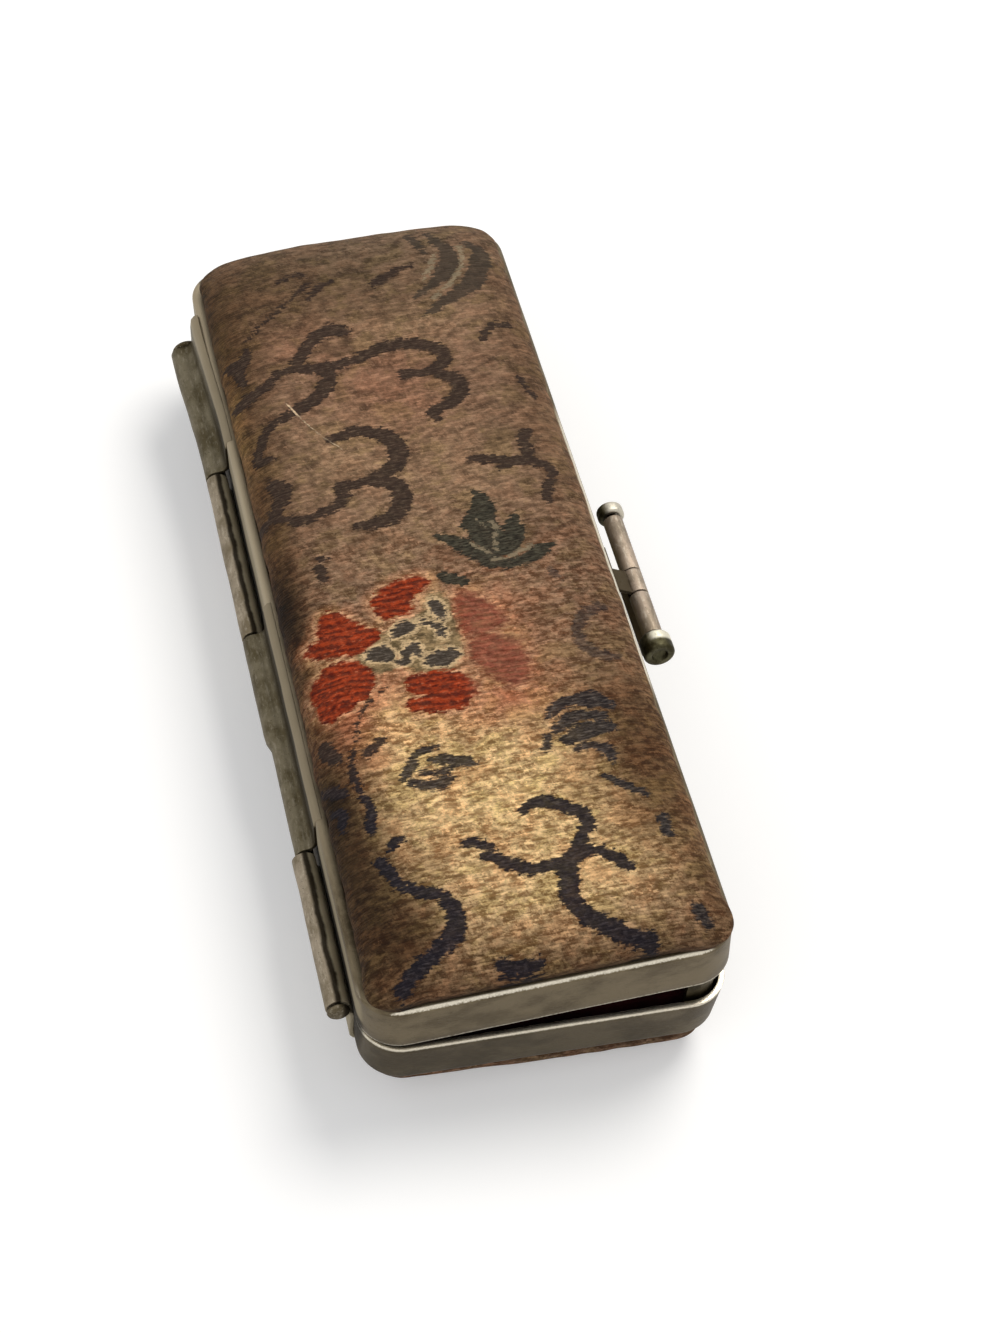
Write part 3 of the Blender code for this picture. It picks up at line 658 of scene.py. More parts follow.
indigo = [
    [(-5.3, -8.9, 0.35), (-4.6, -8.5, 0.6), (-3.9, -8.4, 0.35)],
    [(-7.7, -10.7, 0.5), (-7.0, -10.6, 0.8), (-6.5, -10.9, 0.6)],
    [(-4.8, -11.1, 0.4), (-4.2, -10.7, 0.55), (-4.0, -11.3, 0.3)],
    [(-3.0, -12.4, 0.5), (-2.0, -12.3, 0.75), (-1.1, -12.1, 0.45)],
    [(-5.5, -12.0, 0.25), (-5.0, -11.8, 0.3)],
    [(-1.5, -6.3, 0.35), (-1.3, -7.2, 0.5), (-1.1, -8.0, 0.3)],
    [(-2.8, -8.1, 0.2), (-1.7, -9.0, 0.3), (-1.5, -9.9, 0.25)],
    [(-6.4, -21.5, 0.2), (-5.5, -21.2, 0.25), (-4.3, -21.1, 0.22)],
    [(-6.6, -22.2, 0.35), (-7.3, -23.0, 0.38), (-7.7, -23.5, 0.2)],
    [(-7.2, -24.0, 0.35), (-6.2, -24.6, 0.45), (-4.9, -24.8, 0.5), (-4.2, -24.4, 0.35)],
    [(-5.1, -22.4, 0.3), (-3.8, -22.7, 0.42), (-2.6, -23.1, 0.48), (-2.0, -23.4, 0.3)],
    [(-6.2, -23.4, 0.3), (-5.0, -23.7, 0.25), (-4.0, -23.6, 0.15)],
    [(5.0, -20.2, 0.3), (5.9, -19.4, 0.45), (7.3, -19.1, 0.5), (8.8, -19.3, 0.7), (10.1, -20.0, 0.4)],
    [(5.2, -21.6, 0.4), (6.4, -21.0, 0.5), (7.8, -20.8, 0.5), (9.3, -21.2, 0.4)],
    [(5.8, -22.9, 0.4), (7.0, -22.6, 0.7), (8.4, -22.2, 0.6), (9.6, -22.4, 0.4)],
    [(6.4, -23.9, 0.25), (7.6, -23.9, 0.3), (8.8, -24.6, 0.5), (8.9, -25.6, 0.25)],
    [(4.4, -22.3, 0.22), (4.0, -23.2, 0.35)],
    [(12.2, -9.5, 0.35), (10.8, -10.1, 0.42), (9.7, -11.3, 0.42), (9.4, -12.8, 0.4),
     (10.0, -14.2, 0.45), (11.2, -15.0, 0.4), (12.2, -15.0, 0.2)],
    [(8.9, -5.0, 0.3), (9.5, -5.9, 0.2)],
    [(8.0, -27.0, 0.2), (9.2, -28.2, 0.3), (10.6, -29.3, 0.2)],
    [(11.4, -31.8, 0.4), (11.3, -33.2, 0.4)],
    [(11.7, -39.9, 0.4), (11.9, -40.8, 0.3)],
]
loose_thread = [[(-9.3, 19.6, 0.06), (-8.7, 18.2, 0.05), (-7.9, 16.5, 0.05), (-6.8, 14.6, 0.05),
                 (-5.5, 12.9, 0.03)]]

# Soft patches of tone over the plain ground: place, reach, colour as seen, and strength.
taupe, umber, tan, gold, rose, salmon, shade, ochre, drab, deep_shade = (
    np.array(tone) / 255 for tone in (
        (126, 99, 78), (84, 62, 42), (152, 122, 93), (210, 176, 125), (148, 104, 80), (178, 112, 82),
        (68, 51, 34), (146, 112, 68), (104, 88, 71), (34, 25, 17)))
# The gold is partly painted light, and the dark patches along the edges are painted shade.
patches = [
    (0, -27, 17, 11, gold, 1.0), (-5, -20, 6, 5, gold, 0.7), (4, -35, 9, 5, gold, 0.75),
    (-3, -38, 6, 4, gold, 0.35), (0, 19, 6, 7, rose, 0.6), (-6, 12, 5, 5, tan, 0.7),
    (4, 8, 7, 7, tan, 0.5), (3, 27, 6, 3, tan, 0.8), (-8, 27, 4, 3, rose, 0.4),
    (-4, 1, 6, 4, tan, 0.45), (5, -8, 6, 5, tan, 0.45), (2, 34, 4, 4, tan, 0.25),
    (-8, -15, 6, 4, salmon, 0.7), (2.5, -17.5, 4, 2.4, salmon, 0.7), (3, -11, 4, 6, salmon, 0.55),
    (-11, -18, 3, 4, salmon, 0.8), (-6.5, -18.5, 2.6, 3.6, gold, 0.9),
    (-9, 36, 7, 5, umber, 0.5), (-4, 34, 10, 5, umber, 0.45), (-13.5, 30, 3, 12, umber, 0.8),
    (-13.6, 2, 2.2, 26, umber, 0.9), (-14.1, 20, 0.9, 9, ochre, 0.6),
    (13, 5, 2.5, 60, umber, 0.35), (12, -24, 4.8, 10, umber, 1.0), (11, -8, 4, 12, taupe, 0.5),
    (-14.2, -30, 3.9, 13, shade, 1.0), (-11.5, -37.5, 3.8, 3.8, shade, 0.9),
    (0, -44, 20, 3.6, umber, 0.75), (13.5, -37, 1.8, 6, umber, 0.5), (1, 40, 14, 9, drab, 0.6),
    (-15, 34, 2.5, 9, shade, 0.7), (-13.8, -3.6, 1.4, 4.0, deep_shade, 0.95),
    (-13.6, -24, 1.2, 3.0, deep_shade, 0.8), (-12.6, -32, 2.4, 6, deep_shade, 0.35),
]


def mark_cloth(obj, to_motif):
    """Keep on the cloth how far each point is from each motif, and its ground tone."""
    count = len(obj.data.vertices)
    plan = np.empty(count * 3)
    obj.data.attributes["plan"].data.foreach_get("vector", plan)
    places = to_motif(plan.reshape(-1, 3)[:, :2])
    motifs = {"scroll": scrolls, "leaf": leaf, "vein": veins, "petal": petals, "eye": eye,
              "indigo": indigo, "thread": loose_thread}
    for name, strokes in motifs.items():
        keep(obj.data, name, reach_of(places, strokes), "FLOAT", "value")
    tone = np.tile(taupe, (count, 1))
    for x, y, reach_x, reach_y, colour, strength in patches:
        fade = np.exp(-((places[:, 0] - x) / reach_x) ** 2 - ((places[:, 1] - y) / reach_y) ** 2)
        share = np.clip(fade * strength, 0, 1)[:, None]
        tone = tone + (colour - tone) * share
    tone = np.column_stack([tone ** 2.2, np.ones(count)])
    keep(obj.data, "ground", tone, "FLOAT_COLOR", "color")


def brocade_finish(name):
    """Weft floats in rows across the cloth, with motifs of thicker, raised floats."""
    row_pitch, float_length, stripe_pitch = 0.27, 0.72, 0.75
    silk = Finish(name, Specular_IOR_Level=0.12)
    weave = silk.attribute("woven", "Vector")
    across, along, _ = silk.axes(weave)
    fine = silk.noise(weave, (1.5, 5.5, 1), 3, 0.6)
    mottle = silk.noise(weave, (0.5, 0.7, 1), 5, 0.7)
    speck = silk.noise(weave, (2.0, 2.8, 1), 3, 0.6)
    blot = silk.noise(weave, (1.0, 2.1, 1), 5, 0.75)
    hue = silk.noise(weave, (0.3, 0.34, 4), 4, 0.65)
    wander = silk.noise(weave, (0.12, 0.3, 1), 2, 0.5)
    patchy = silk.noise(weave, (0.17, 0.27, 7), 3, 0.5)
    slant = silk.node("CombineXYZ", {}, {
        0: across * 0.94 + along * 0.34, 1: along * 0.94 - across * 0.34, 2: 3.0})
    twill = silk.noise(slant, (3.4, 0.9, 1), 2, 0.6)
    flecks = speck * 0.5 + twill * 0.5

    # Rows of floats, each row shifted by chance and each float with its own tone.
    lift = along + wander * 0.5
    row = silk.maths("FLOOR", lift / row_pitch)
    shift = silk.node("TexWhiteNoise", {"noise_dimensions": "1D"}, {"W": row})
    brick = silk.maths("FLOOR", across / float_length + shift * 11)
    cell = silk.node("CombineXYZ", {}, {0: row, 1: brick, 2: 0.5})
    float_tone = silk.node("TexWhiteNoise", {"noise_dimensions": "3D"}, {"Vector": cell})
    ragged = (float_tone - 0.5) * 0.3 + (fine - 0.5) * 0.9 + (speck - 0.5) * 0.7

    def inside(motif, soft=0.1, grow=0.0):
        return 1 - silk.between(silk.attribute(motif) + ragged, grow - soft, grow + soft)

    # The ground: its tone, with the painted shade and light of the patches, a glow round the
    # flower, and flecks that are calmer at the far end.
    petal_gap, eye_gap = silk.attribute("petal"), silk.attribute("eye")
    glow = 1 - silk.between(petal_gap, 0.2, 1.6)
    colour = silk.mix(glow * 0.6, silk.attribute("ground", "Color"), paint(158, 104, 72))
    edging = silk.maths("MINIMUM", petal_gap, eye_gap) + ragged
    colour = silk.tint(colour, paint(200, 156, 118), edging, 1.1, 0.5, 0.55)
    calm = silk.between(along, -6.0, 10.0)
    pinker, greener = silk.times(colour, (1.06, 0.96, 0.92)), silk.times(colour, (0.95, 0.98, 0.87))
    colour = silk.tint(colour, pinker, hue, 0.5, 0.6, 1 - calm * 0.5)
    colour = silk.tint(colour, greener, hue, 0.5, 0.4)
    darker = silk.times(colour, silk.mix(calm, (0.41, 0.32, 0.25, 1), (0.35, 0.34, 0.33, 1)))
    lighter = silk.times(colour, (1.8, 1.84, 1.92))
    for tone, field, low, high, strength in (
            (darker, mottle, 0.51, 0.62, 0.8), (lighter, mottle, 0.47, 0.34, 0.65),
            (lighter, flecks, 0.53, 0.62, 0.7 - calm * 0.25),
            (darker, flecks, 0.46, 0.38, 0.7 - calm * 0.25),
            (darker, blot, 0.51, 0.57, 0.85 - calm * 0.35),
            (lighter, blot, 0.48, 0.41, 0.78 - calm * 0.33),
            (darker, patchy, 0.52, 0.66, 0.3), (lighter, patchy, 0.48, 0.36, 0.2)):
        colour = silk.tint(colour, tone, field, low, high, strength)

    # The flower: its eye, the pale outline of the knots in it, and striped petals, dull pink at
    # right.
    eye = silk.tint(paint(150, 128, 92), paint(84, 74, 52), mottle * 0.5 + blot * 0.5, 0.42, 0.58)
    colour = silk.mix(inside("eye", 0.3, 0.25) * 0.9, colour, eye)
    outlined = inside("indigo", 0.1, 0.42) * inside("eye", 0.3, 0.8)
    colour = silk.mix(outlined * 0.8, colour, paint(218, 186, 142))
    streak = silk.maths("SINE", (along + across * 0.09 + wander * 3.0 + mottle * 0.8)
                        * (2 * pi / stripe_pitch))
    streak = silk.between(streak * 0.085 + speck * 0.8 + blot * 0.75 - 0.27, 0.34, 0.68)
    right = silk.between(across, -1.5, 1.5)
    petal = silk.mix(right, silk.mix(streak, paint(84, 18, 6), paint(166, 62, 30)),
                     silk.mix(streak, paint(96, 42, 32), paint(152, 82, 66)))
    petal = silk.tint(petal, paint(186, 118, 88), speck, 0.6, 0.72, 0.5)
    petal_share = inside("petal", 0.2 + right * 0.5, 0.34) * (0.95 - right * 0.15)
    colour = silk.mix(petal_share, colour, petal)

    # Leaves and scrolls: the far leaves are browner, the near scrolls bluer.
    far_leaf = silk.between(along, 20.0, 24.0)
    leaf_tone = silk.tint(paint(34, 33, 28), paint(76, 74, 62), fine, 0.35, 0.7)
    leaf_tone = silk.mix(far_leaf * 0.8, leaf_tone, paint(66, 57, 49))
    colour = silk.mix(inside("leaf", 0.12, 0.1) * (0.95 - far_leaf * 0.1), colour, leaf_tone)
    colour = silk.mix(inside("vein", 0.08, -0.02) * 0.8, colour, paint(150, 134, 108))
    blue = silk.tint(paint(28, 28, 33), paint(86, 80, 76), fine, 0.42, 0.7)
    faded = silk.between(across, 8.0, 9.0) * silk.between(along, -17.5, -16.0)
    colour = silk.mix(inside("indigo", 0.14, 0.12) * (0.92 - faded * 0.3), colour, blue)
    near = 1 - silk.between(along, -28.0, -16.0)
    scroll = silk.tint(silk.mix(near, paint(56, 44, 38), paint(27, 26, 34)),
                       silk.mix(near, paint(84, 70, 58), paint(60, 56, 60)),
                       fine * 0.6 + speck * 0.4, 0.46, 0.64)
    colour = silk.mix(inside("scroll", 0.12, 0.14) * 0.95, colour, scroll)
    thread = 1 - silk.between(silk.attribute("thread"), 0.03, 0.1)
    colour = silk.mix(thread, colour, paint(226, 196, 160))

    # Dirt and painted shade round the edge, where the cloth meets the lip, and the shade
    # between the floats.
    from_edge = silk.attribute("from_edge")
    soil_and_shade = 1 - silk.between(from_edge + (mottle - 0.5) * 2.4, 1.9, 3.0)
    colour = silk.mix(soil_and_shade * 0.75, colour, paint(40, 30, 20))
    shade = 0.42 + 0.46 * float_tone + 0.7 * fine
    colour = silk.node("VectorMath", {"operation": "SCALE"}, {0: colour, "Scale": shade})

    ridge = silk.maths("ABSOLUTE", silk.maths("SINE", lift * (pi / row_pitch)))
    raised = silk.maths("MAXIMUM", inside("scroll", 0.2, 0.1), inside("petal", 0.2, 0.1))
    height = ridge * (0.45 + 0.55 * float_tone) + fine * 0.8 + twill * 1.4 + raised * 1.6
    height = height + mottle * 4.0 + blot * 3.0 + thread * 3.0
    return silk.wear(Base_Color=colour, Roughness=0.7 + fine * 0.2,
                     Normal=silk.bump(height, 0.00006))


def lid_pull(plan, over, depth):
    """The lid's cloth stops short of the lip by the hinge and covers it at the near end. It bulges
    at the near corners and is flattened at the two far ones."""
    x, y = plan[:, 0], plan[:, 1]
    by_hinge, at_near_end = ramp(-x, 9, 6) ** 2, ramp(-y, 35, 7) ** 2
    in_corner = np.sign(x) * ramp(abs(x), 10, 4) * ramp(-y, 38.5, 3)
    flattened = (ramp(abs(x), 5, 8) * ramp(y, 33, 7)) ** 1.5
    bulging, on_lip = ramp(over, 0.1, 0.6), ramp(over, 0, 0.15)
    shift_x = 0.12 * by_hinge * (1 - at_near_end) + 0.75 * in_corner * bulging
    shift_y = -0.55 * at_near_end * on_lip - 0.75 * abs(in_corner) * on_lip
    shift_y = shift_y - 0.3 * flattened * ramp(over, 0, 1.5)
    return np.column_stack([shift_x, shift_y, -0.65 * flattened * ramp(over, 0.3, 2)])


lid_cloth = pillow("lid_cloth", lid_side, lid_top, crown=0.1, pull=lid_pull)
mark_cloth(lid_cloth, lambda places: places)
settle(lid_cloth, "lid", "brocade", brocade_finish("lid_brocade_silk"), "lid_brocade",
       turn=lid_turn, angle=60)


# Brocade under the base: another cut of the same cloth, crimped in the same way and flat where the
# case rests on it. Its pattern runs the other way, and it is pulled in by the hinge.

base_top = base_height / MM
pattern_way, pattern_shift = np.array([1, -1]), np.array([1.5, 7.0])


def base_pull(plan, over, depth):
    """The base's cloth is drawn in round its edge, the more by the hinge."""
    inward = ramp(-depth, -6, 4) * (0.3 + 0.6 * ramp(-plan[:, 0], -3, 12))
    shift_x, shift_y = (-np.sign(place) * ramp(abs(place), start, 6) * inward
                        for place, start in ((plan[:, 0], 8), (plan[:, 1], 35)))
    return np.column_stack([shift_x, shift_y, np.zeros(len(plan))])


base_cloth = pillow("base_cloth", base_side, base_top, crown=0.0, pull=base_pull)
mark_cloth(base_cloth, lambda places: pattern_way * places + pattern_shift)
settle(base_cloth, "base", "brocade", brocade_finish("base_brocade_silk"), "base_brocade", angle=60)


# Hinge: four knuckles rolled from thin sheet, by turns on the lid and on the base, round one pin
# with hammered heads. The sheets are soldered to the bands. The far one has been bent outwards.

barrel, knuckle_sheet, pin_radius = 0.97 * MM, 0.35 * MM, 0.52 * MM
pin_far, pin_near = 36.95 * MM, -38.2 * MM
knuckle_ends = (36.75 * MM, 19.77 * MM, 0.32 * MM, -23.31 * MM, -38.05 * MM)
knuckle_gap = 0.12 * MM
step_at, bend_from, outer_face = -11.7 * MM, 35.6 * MM, -16.4 * MM
sheet_run = ((0.62, 4.6), (0.32, 4.54), (0.1, 4.25), (0, 3.4), (0, 2.2))


def extrude(x, y, z):
    bpy.ops.mesh.extrude_region_move(TRANSFORM_OT_translate={"value": (x, y, z)})


def bent_sheet(name, path, near, far, cuts, stations=()):
    """Thin sheet from near to far along the case, bent along a path of (x, z). It starts as one
    edge of a small block. Stations are places along it that get a cut of their own."""
    (x, z), half = path[0], 0.1 * MM
    obj = start_cube(name, (x, (near + far) / 2, z), (2 * half, far - near, 2 * half))
    mode("EDIT")
    pick("EDGE", lambda e: run(e)[1] < MM or e.verts[0].co.x > x or e.verts[0].co.z > z)
    bpy.ops.mesh.delete(type="EDGE")
    bpy.ops.mesh.select_all(action="SELECT")
    bpy.ops.transform.translate(value=(half, 0, half))
    bpy.ops.mesh.subdivide(number_cuts=cuts)
    for station in stations:
        bpy.ops.mesh.select_all(action="SELECT")
        bpy.ops.mesh.bisect(plane_co=(0, station, 0), plane_no=(0, 1, 0))
    bpy.ops.mesh.select_all(action="SELECT")
    for (x, z), (next_x, next_z) in zip(path, path[1:]):
        extrude(next_x - x, 0, next_z - z)
    bpy.ops.mesh.select_all(action="SELECT")
    bpy.ops.mesh.normals_make_consistent(inside=False)
    mode("OBJECT")
    return obj


def push(obj, test, shift, reach):
    """Push the points that pass a test, and their surroundings with them."""
    bpy.context.view_layer.objects.active = obj
    mode("EDIT")
    pick("EDGE", lambda e: test(e.verts[0].co) and test(e.verts[1].co))
    bpy.ops.transform.translate(value=shift, use_proportional_edit=True,
                                proportional_edit_falloff="SMOOTH", proportional_size=reach)
    mode("OBJECT")


def arc(centre_x, centre_z, radius, start, end, steps):
    """Points round a centre, from one angle to another in degrees."""
    turns = [radians(start + (end - start) * k / steps) for k in range(steps + 1)]
    return [(centre_x + radius * cos(turn), centre_z + radius * sin(turn)) for turn in turns]


def knuckle(name, side, near, far):
    """Down the band's face, out in a soft bend, and round the pin. The edge is feathered in."""
    roll = barrel - knuckle_sheet / 2
    face, bend = -case_width / 2 - 0.02 * MM, 0.9 * MM
    path = [(face + inward * MM, rise * MM) for inward, rise in sheet_run]
    path += arc(face - bend, roll + bend, bend, 0, -90, 7)
    path += arc(hinge.x, 0, roll, 90, 352, 26)
    path = [(x, parting + side * z) for x, z in path]
    obj = bent_sheet(name, path, near + knuckle_gap, far - knuckle_gap, 26)
    dent(obj, spacing=0.004, depth=0.12 * MM)
    return obj


def finish_sheet(obj, thickness, round_off=0.08):
    """Give a sheet its thickness and take the sharpness off its edges."""
    modify(obj, "SOLIDIFY", thickness=thickness, offset=0, use_even_offset=True)
    soften(obj, width=round_off * MM, segments=3, angle=50)


def worn_metal(name, lit, dim, shade_and_grime_from, shade_and_grime_to, bare=0.35, shade_and_grime_tone=paint(34, 28, 20),
               matt=0.0, painted_light_from=99.0):
    """Nickel silver worn by hands on its outer side. Painted shade with some dirt sets in at
    shade_and_grime_from and is full at shade_and_grime_to, in mm across the case. Painted light
    pales what lies further in than painted_light_from, and the tops above 12.3 mm."""
    metal = Finish(name, Metallic=1.0)
    place = metal.shut_place()
    clouds = metal.noise(place, (0.5, 0.35, 0.5), 4, 0.6)
    scuffs = metal.noise(place, (4, 1.2, 4), 3, 0.7)
    pits = metal.noise(place, (5, 5, 5), 3, 0.7)
    across, _, up = metal.axes(place)
    inward = across + clouds * 0.6 - 0.3
    # Painted shade with some dirt on the side towards the case.
    shade_and_grime = metal.between(inward, shade_and_grime_from, shade_and_grime_to)
    # Painted light: a paler, matt tone further in.
    painted_light = metal.between(inward, painted_light_from, painted_light_from + 0.25)
    painted_light_tone = metal.mix(clouds, paint(140, 129, 104), paint(184, 172, 146))
    colour = metal.tint(dim, lit, clouds, 0.36, 0.66)
    colour = metal.tint(colour, paint(196, 186, 168), scuffs, 0.5, 0.7, bare)
    colour = metal.tint(colour, paint(52, 44, 32), pits, 0.58, 0.72, 0.6)
    colour = metal.mix(shade_and_grime * 0.9, colour, shade_and_grime_tone)
    colour = metal.mix(painted_light * 0.9, colour, painted_light_tone)
    # Painted light: the tops above 12.3 mm are paler.
    colour = metal.tint(colour, paint(150, 138, 116), up, 12.3, 12.8, 0.85)
    return metal.wear(Base_Color=colour, Roughness=0.46 + clouds * 0.16 + shade_and_grime * 0.2,
                      Metallic=1 - shade_and_grime * matt - painted_light * 0.8,
                      Normal=metal.bump(scuffs + pits, 0.000025))


# Knuckles: painted shade with some dirt towards the lid's face, and on the rolls painted light
# further in.
sheet_finish = worn_metal("sheet_knuckle_metal", paint(112, 104, 86), paint(80, 72, 54),
                          shade_and_grime_from=-15.7, shade_and_grime_to=-15.0, bare=0.15)
rolled_finish = worn_metal("rolled_knuckle_metal", paint(150, 138, 120), paint(112, 101, 82),
                           shade_and_grime_from=-16.6, shade_and_grime_to=-16.3, painted_light_from=-16.12)
knuckle_names = ("lid_knuckle_a", "base_knuckle_b", "lid_knuckle_c", "base_knuckle_d")
knuckle_nodes = ("lid_knuckle_far", "base_knuckle_far", "lid_knuckle_near", "base_knuckle_near")
for k in range(4):
    body, side, finish, turn = ("lid", lid_side, sheet_finish, lid_turn) if k % 2 == 0 else (
        "base", base_side, rolled_finish, None)
    piece = knuckle(knuckle_names[k], side, knuckle_ends[k + 1], knuckle_ends[k])
    if k == 0:
        push(piece, lambda point: point.y > bend_from and point.x < outer_face,
             shift=(-0.6 * MM, 0, 0.1 * MM), reach=15 * MM)
    if k == 2:
        push(piece, lambda point: point.y < step_at and point.x < outer_face,
             shift=(0.35 * MM, 0, 0), reach=1.2 * MM)
    finish_sheet(piece, knuckle_sheet)
    settle(piece, body, "worn_metal", finish, knuckle_nodes[k], turn=turn, angle=45)


def round_bar(name, x, z, radius, near, far, sides):
    """A round bar along the case."""
    bpy.ops.object.select_all(action="DESELECT")
    bpy.ops.mesh.primitive_cylinder_add(
        vertices=sides, radius=radius, depth=far - near, location=(x, (far + near) / 2, z),
        rotation=(pi / 2, 0, 0))
    bpy.context.object.name = name
    bpy.ops.object.transform_apply(location=True, rotation=True, scale=True)
    return bpy.context.object


far_head, near_head = (1, 0.8), (-1, 0.93)
head_steps = ((0.08, 1.0), (0.12, 0.93), (0.1, 0.84), (0.06, 0.6))
hinge_rod = round_bar("hinge_rod", hinge.x, hinge.z, pin_radius, pin_near, pin_far, sides=40)
mode("EDIT")
for way, radius in (far_head, near_head):
    pick("FACE", lambda f: f.normal.y * way > 0.9)
    bpy.ops.mesh.extrude_region_move()
    bpy.ops.transform.resize(value=(radius * MM / pin_radius, 1, radius * MM / pin_radius))
    for rise, shrink in head_steps:
        extrude(0, way * rise * MM, 0)
        bpy.ops.transform.resize(value=(shrink, 1, shrink))
mode("OBJECT")
# The pin is darkened towards the lid's face: painted shade with some dirt.
rod_finish = worn_metal("hinge_rod_metal", paint(112, 102, 84), paint(70, 62, 46),
                        shade_and_grime_from=-16.2, shade_and_grime_to=-15.6)
settle(hinge_rod, "base", "worn_metal", rod_finish, "hinge_pin")


# Clasp: a bar of two sleeves on its own pin, hung from a bracket on the lid, with a knob at each
# end. A leaf of the same sheet hangs below its middle and near part, to hook under a catch on the
# base. It stands a little way out, with the hook clear of the catch.

clasp_x, clasp_z = 17.85 * MM, 7.7 * MM
sleeve, clasp_sheet = 0.9 * MM, 0.33 * MM
latch_out = radians(22)
sleeve_far, sleeve_near = 7.35 * MM, -6.5 * MM
bracket_far, bracket_near = 0.75 * MM, -1.75 * MM
leaf_far, bracket_play, slot_depth = 3.0 * MM, 0.15 * MM, 0.9 * MM
leaf_drops, leaf_end = (0.35, 0.7, 1.1, 1.5, 1.72), ((16.5, 2.06), (16.1, 2.03))
latch_turn = lid_turn @ Matrix.Translation((clasp_x, 0, clasp_z)) @ Matrix.Rotation(
    -latch_out, 4, "Y") @ Matrix.Translation((-clasp_x, 0, -clasp_z))
# Towards the case the bar has painted shade with some dirt; there the leaf is pale and matt instead,
# painted light in its shade.
handled = {"lit": paint(164, 148, 132), "dim": paint(126, 114, 98), "bare": 0.6,
           "shade_and_grime_from": 17.5, "shade_and_grime_to": 17.2}
bar_finish = worn_metal("clasp_bar_metal", shade_and_grime_tone=paint(66, 58, 42), **handled)
leaf_finish = worn_metal("clasp_leaf_metal", shade_and_grime_tone=paint(128, 112, 82), matt=0.75, **handled)

centre_line, fold = sleeve - clasp_sheet / 2, 0.26 * MM
cut_far, cut_near = bracket_far + bracket_play, bracket_near - bracket_play
leaf_path = arc(clasp_x, clasp_z, centre_line, -155, 180, 34)
leaf_path += [(clasp_x - centre_line, clasp_z - drop * MM) for drop in leaf_drops]
leaf_path += arc(clasp_x - centre_line - fold, clasp_z - 1.8 * MM, fold, -10, -90, 4)
leaf_path += [(x * MM, clasp_z - drop * MM) for x, drop in leaf_end]
lever = bent_sheet("clasp_lever", leaf_path, sleeve_near, sleeve_far, cuts=0,
                   stations=(cut_near, cut_far, leaf_far))


def off_lever(face):
    """Whether a face is where the bracket's knuckle sits, or of the leaf beyond its far end."""
    middle = face.calc_center_median()
    rolled = (middle.x - clasp_x) ** 2 + (middle.z - clasp_z) ** 2 < (1.02 * centre_line) ** 2
    in_bracket = cut_near < middle.y < cut_far
    if rolled:
        return in_bracket
    return middle.y > leaf_far or (in_bracket and middle.z > clasp_z - slot_depth)


mode("EDIT")
pick("FACE", off_lever)
bpy.ops.mesh.delete(type="FACE")
mode("OBJECT")
finish_sheet(lever, clasp_sheet, round_off=0.07)
settle(lever, "latch", "worn_metal", leaf_finish, "latch_lever", turn=latch_turn, angle=45)

bracket_path = [(x * MM, z * MM) for x, z in (
    (15.12, 12.1), (15.16, 11.2), (15.2, 10.2), (15.28, 9.75), (15.55, 9.3), (15.95, 8.95),
    (16.4, 8.68), (16.85, 8.42), (17.12, 8.22))]
bracket_path += arc(clasp_x, clasp_z, centre_line, 146, -170, 32)
bracket = bent_sheet("clasp_mount", bracket_path, bracket_near, bracket_far, cuts=6)
finish_sheet(bracket, clasp_sheet, round_off=0.07)
settle(bracket, "lid", "band_metal", bar_finish, "clasp_bracket", turn=lid_turn, angle=45)


def knob(name, near, far, radius, flat, finish, node):
    """Turned knob with a rounded rim and a shallow recess in the flat of its near end."""
    rim, recess_depth = 0.3 * MM, 0.35 * MM
    obj = round_bar(name, clasp_x, clasp_z, radius, near, far, sides=48)
    mode("EDIT")
    pick("EDGE", lambda e: rounds_end(e, 1))
    bpy.ops.mesh.bevel(offset=rim, segments=5, affect="EDGES")
    pick("FACE", lambda f: f.normal.y < -0.99)
    bpy.ops.mesh.inset(thickness=flat)
    extrude(0, recess_depth, 0)
    bpy.ops.transform.resize(value=(0.85, 1, 0.85))
    mode("OBJECT")
    soften(obj, width=0.05 * MM, segments=2, angle=40)
    settle(obj, "latch", "worn_metal", finish, node, turn=latch_turn, angle=45)


def knob_metal(name, lit, face_from, face_to):
    """The knob's side away from the case is bright, a painted highlight over some wear, and its end
    face is dark.
    """
    metal = Finish(name, Metallic=1.0)
    place = metal.shut_place()
    across, along, _ = metal.axes(place)
    clouds = metal.noise(place, (0.7, 0.7, 0.7), 4, 0.65)
    pits = metal.noise(place, (4, 4, 4), 3, 0.7)
    # Painted highlight, with some wear, on the outer side by the end.
    rub_and_highlight = metal.between(across + clouds * 0.8 - 0.4, 17.4, 18.1)
    rub_and_highlight = rub_and_highlight * metal.between(along + pits * 0.2 - 0.1, face_from, face_to)
    colour = metal.tint(paint(58, 54, 38), paint(92, 88, 68), clouds, 0.38, 0.62)
    colour = metal.mix(rub_and_highlight, colour, lit)
    colour = metal.tint(colour, paint(40, 36, 24), pits, 0.56, 0.7, 0.6)
    return metal.wear(Base_Color=colour, Roughness=0.5 - rub_and_highlight * 0.15 + clouds * 0.1,
                      Normal=metal.bump(clouds + pits, 0.00003))


far_finish = knob_metal("far_knob_metal", paint(186, 179, 163), face_from=7.0, face_to=7.5)
near_finish = knob_metal("near_knob_metal", paint(214, 208, 188), face_from=-8.0, face_to=-7.6)
knob("far_knob", near=7.65 * MM, far=8.85 * MM, radius=1.22 * MM, flat=0.2 * MM,
     finish=far_finish, node="latch_far_cap")
knob("near_knob", near=-8.8 * MM, far=-6.8 * MM, radius=1.4 * MM, flat=0.35 * MM,
     finish=near_finish, node="latch_near_cap")


# Wadding: thin loose cotton, laid between each card former and its cloth to pad it. It doesn't show
# while the cloth is on.

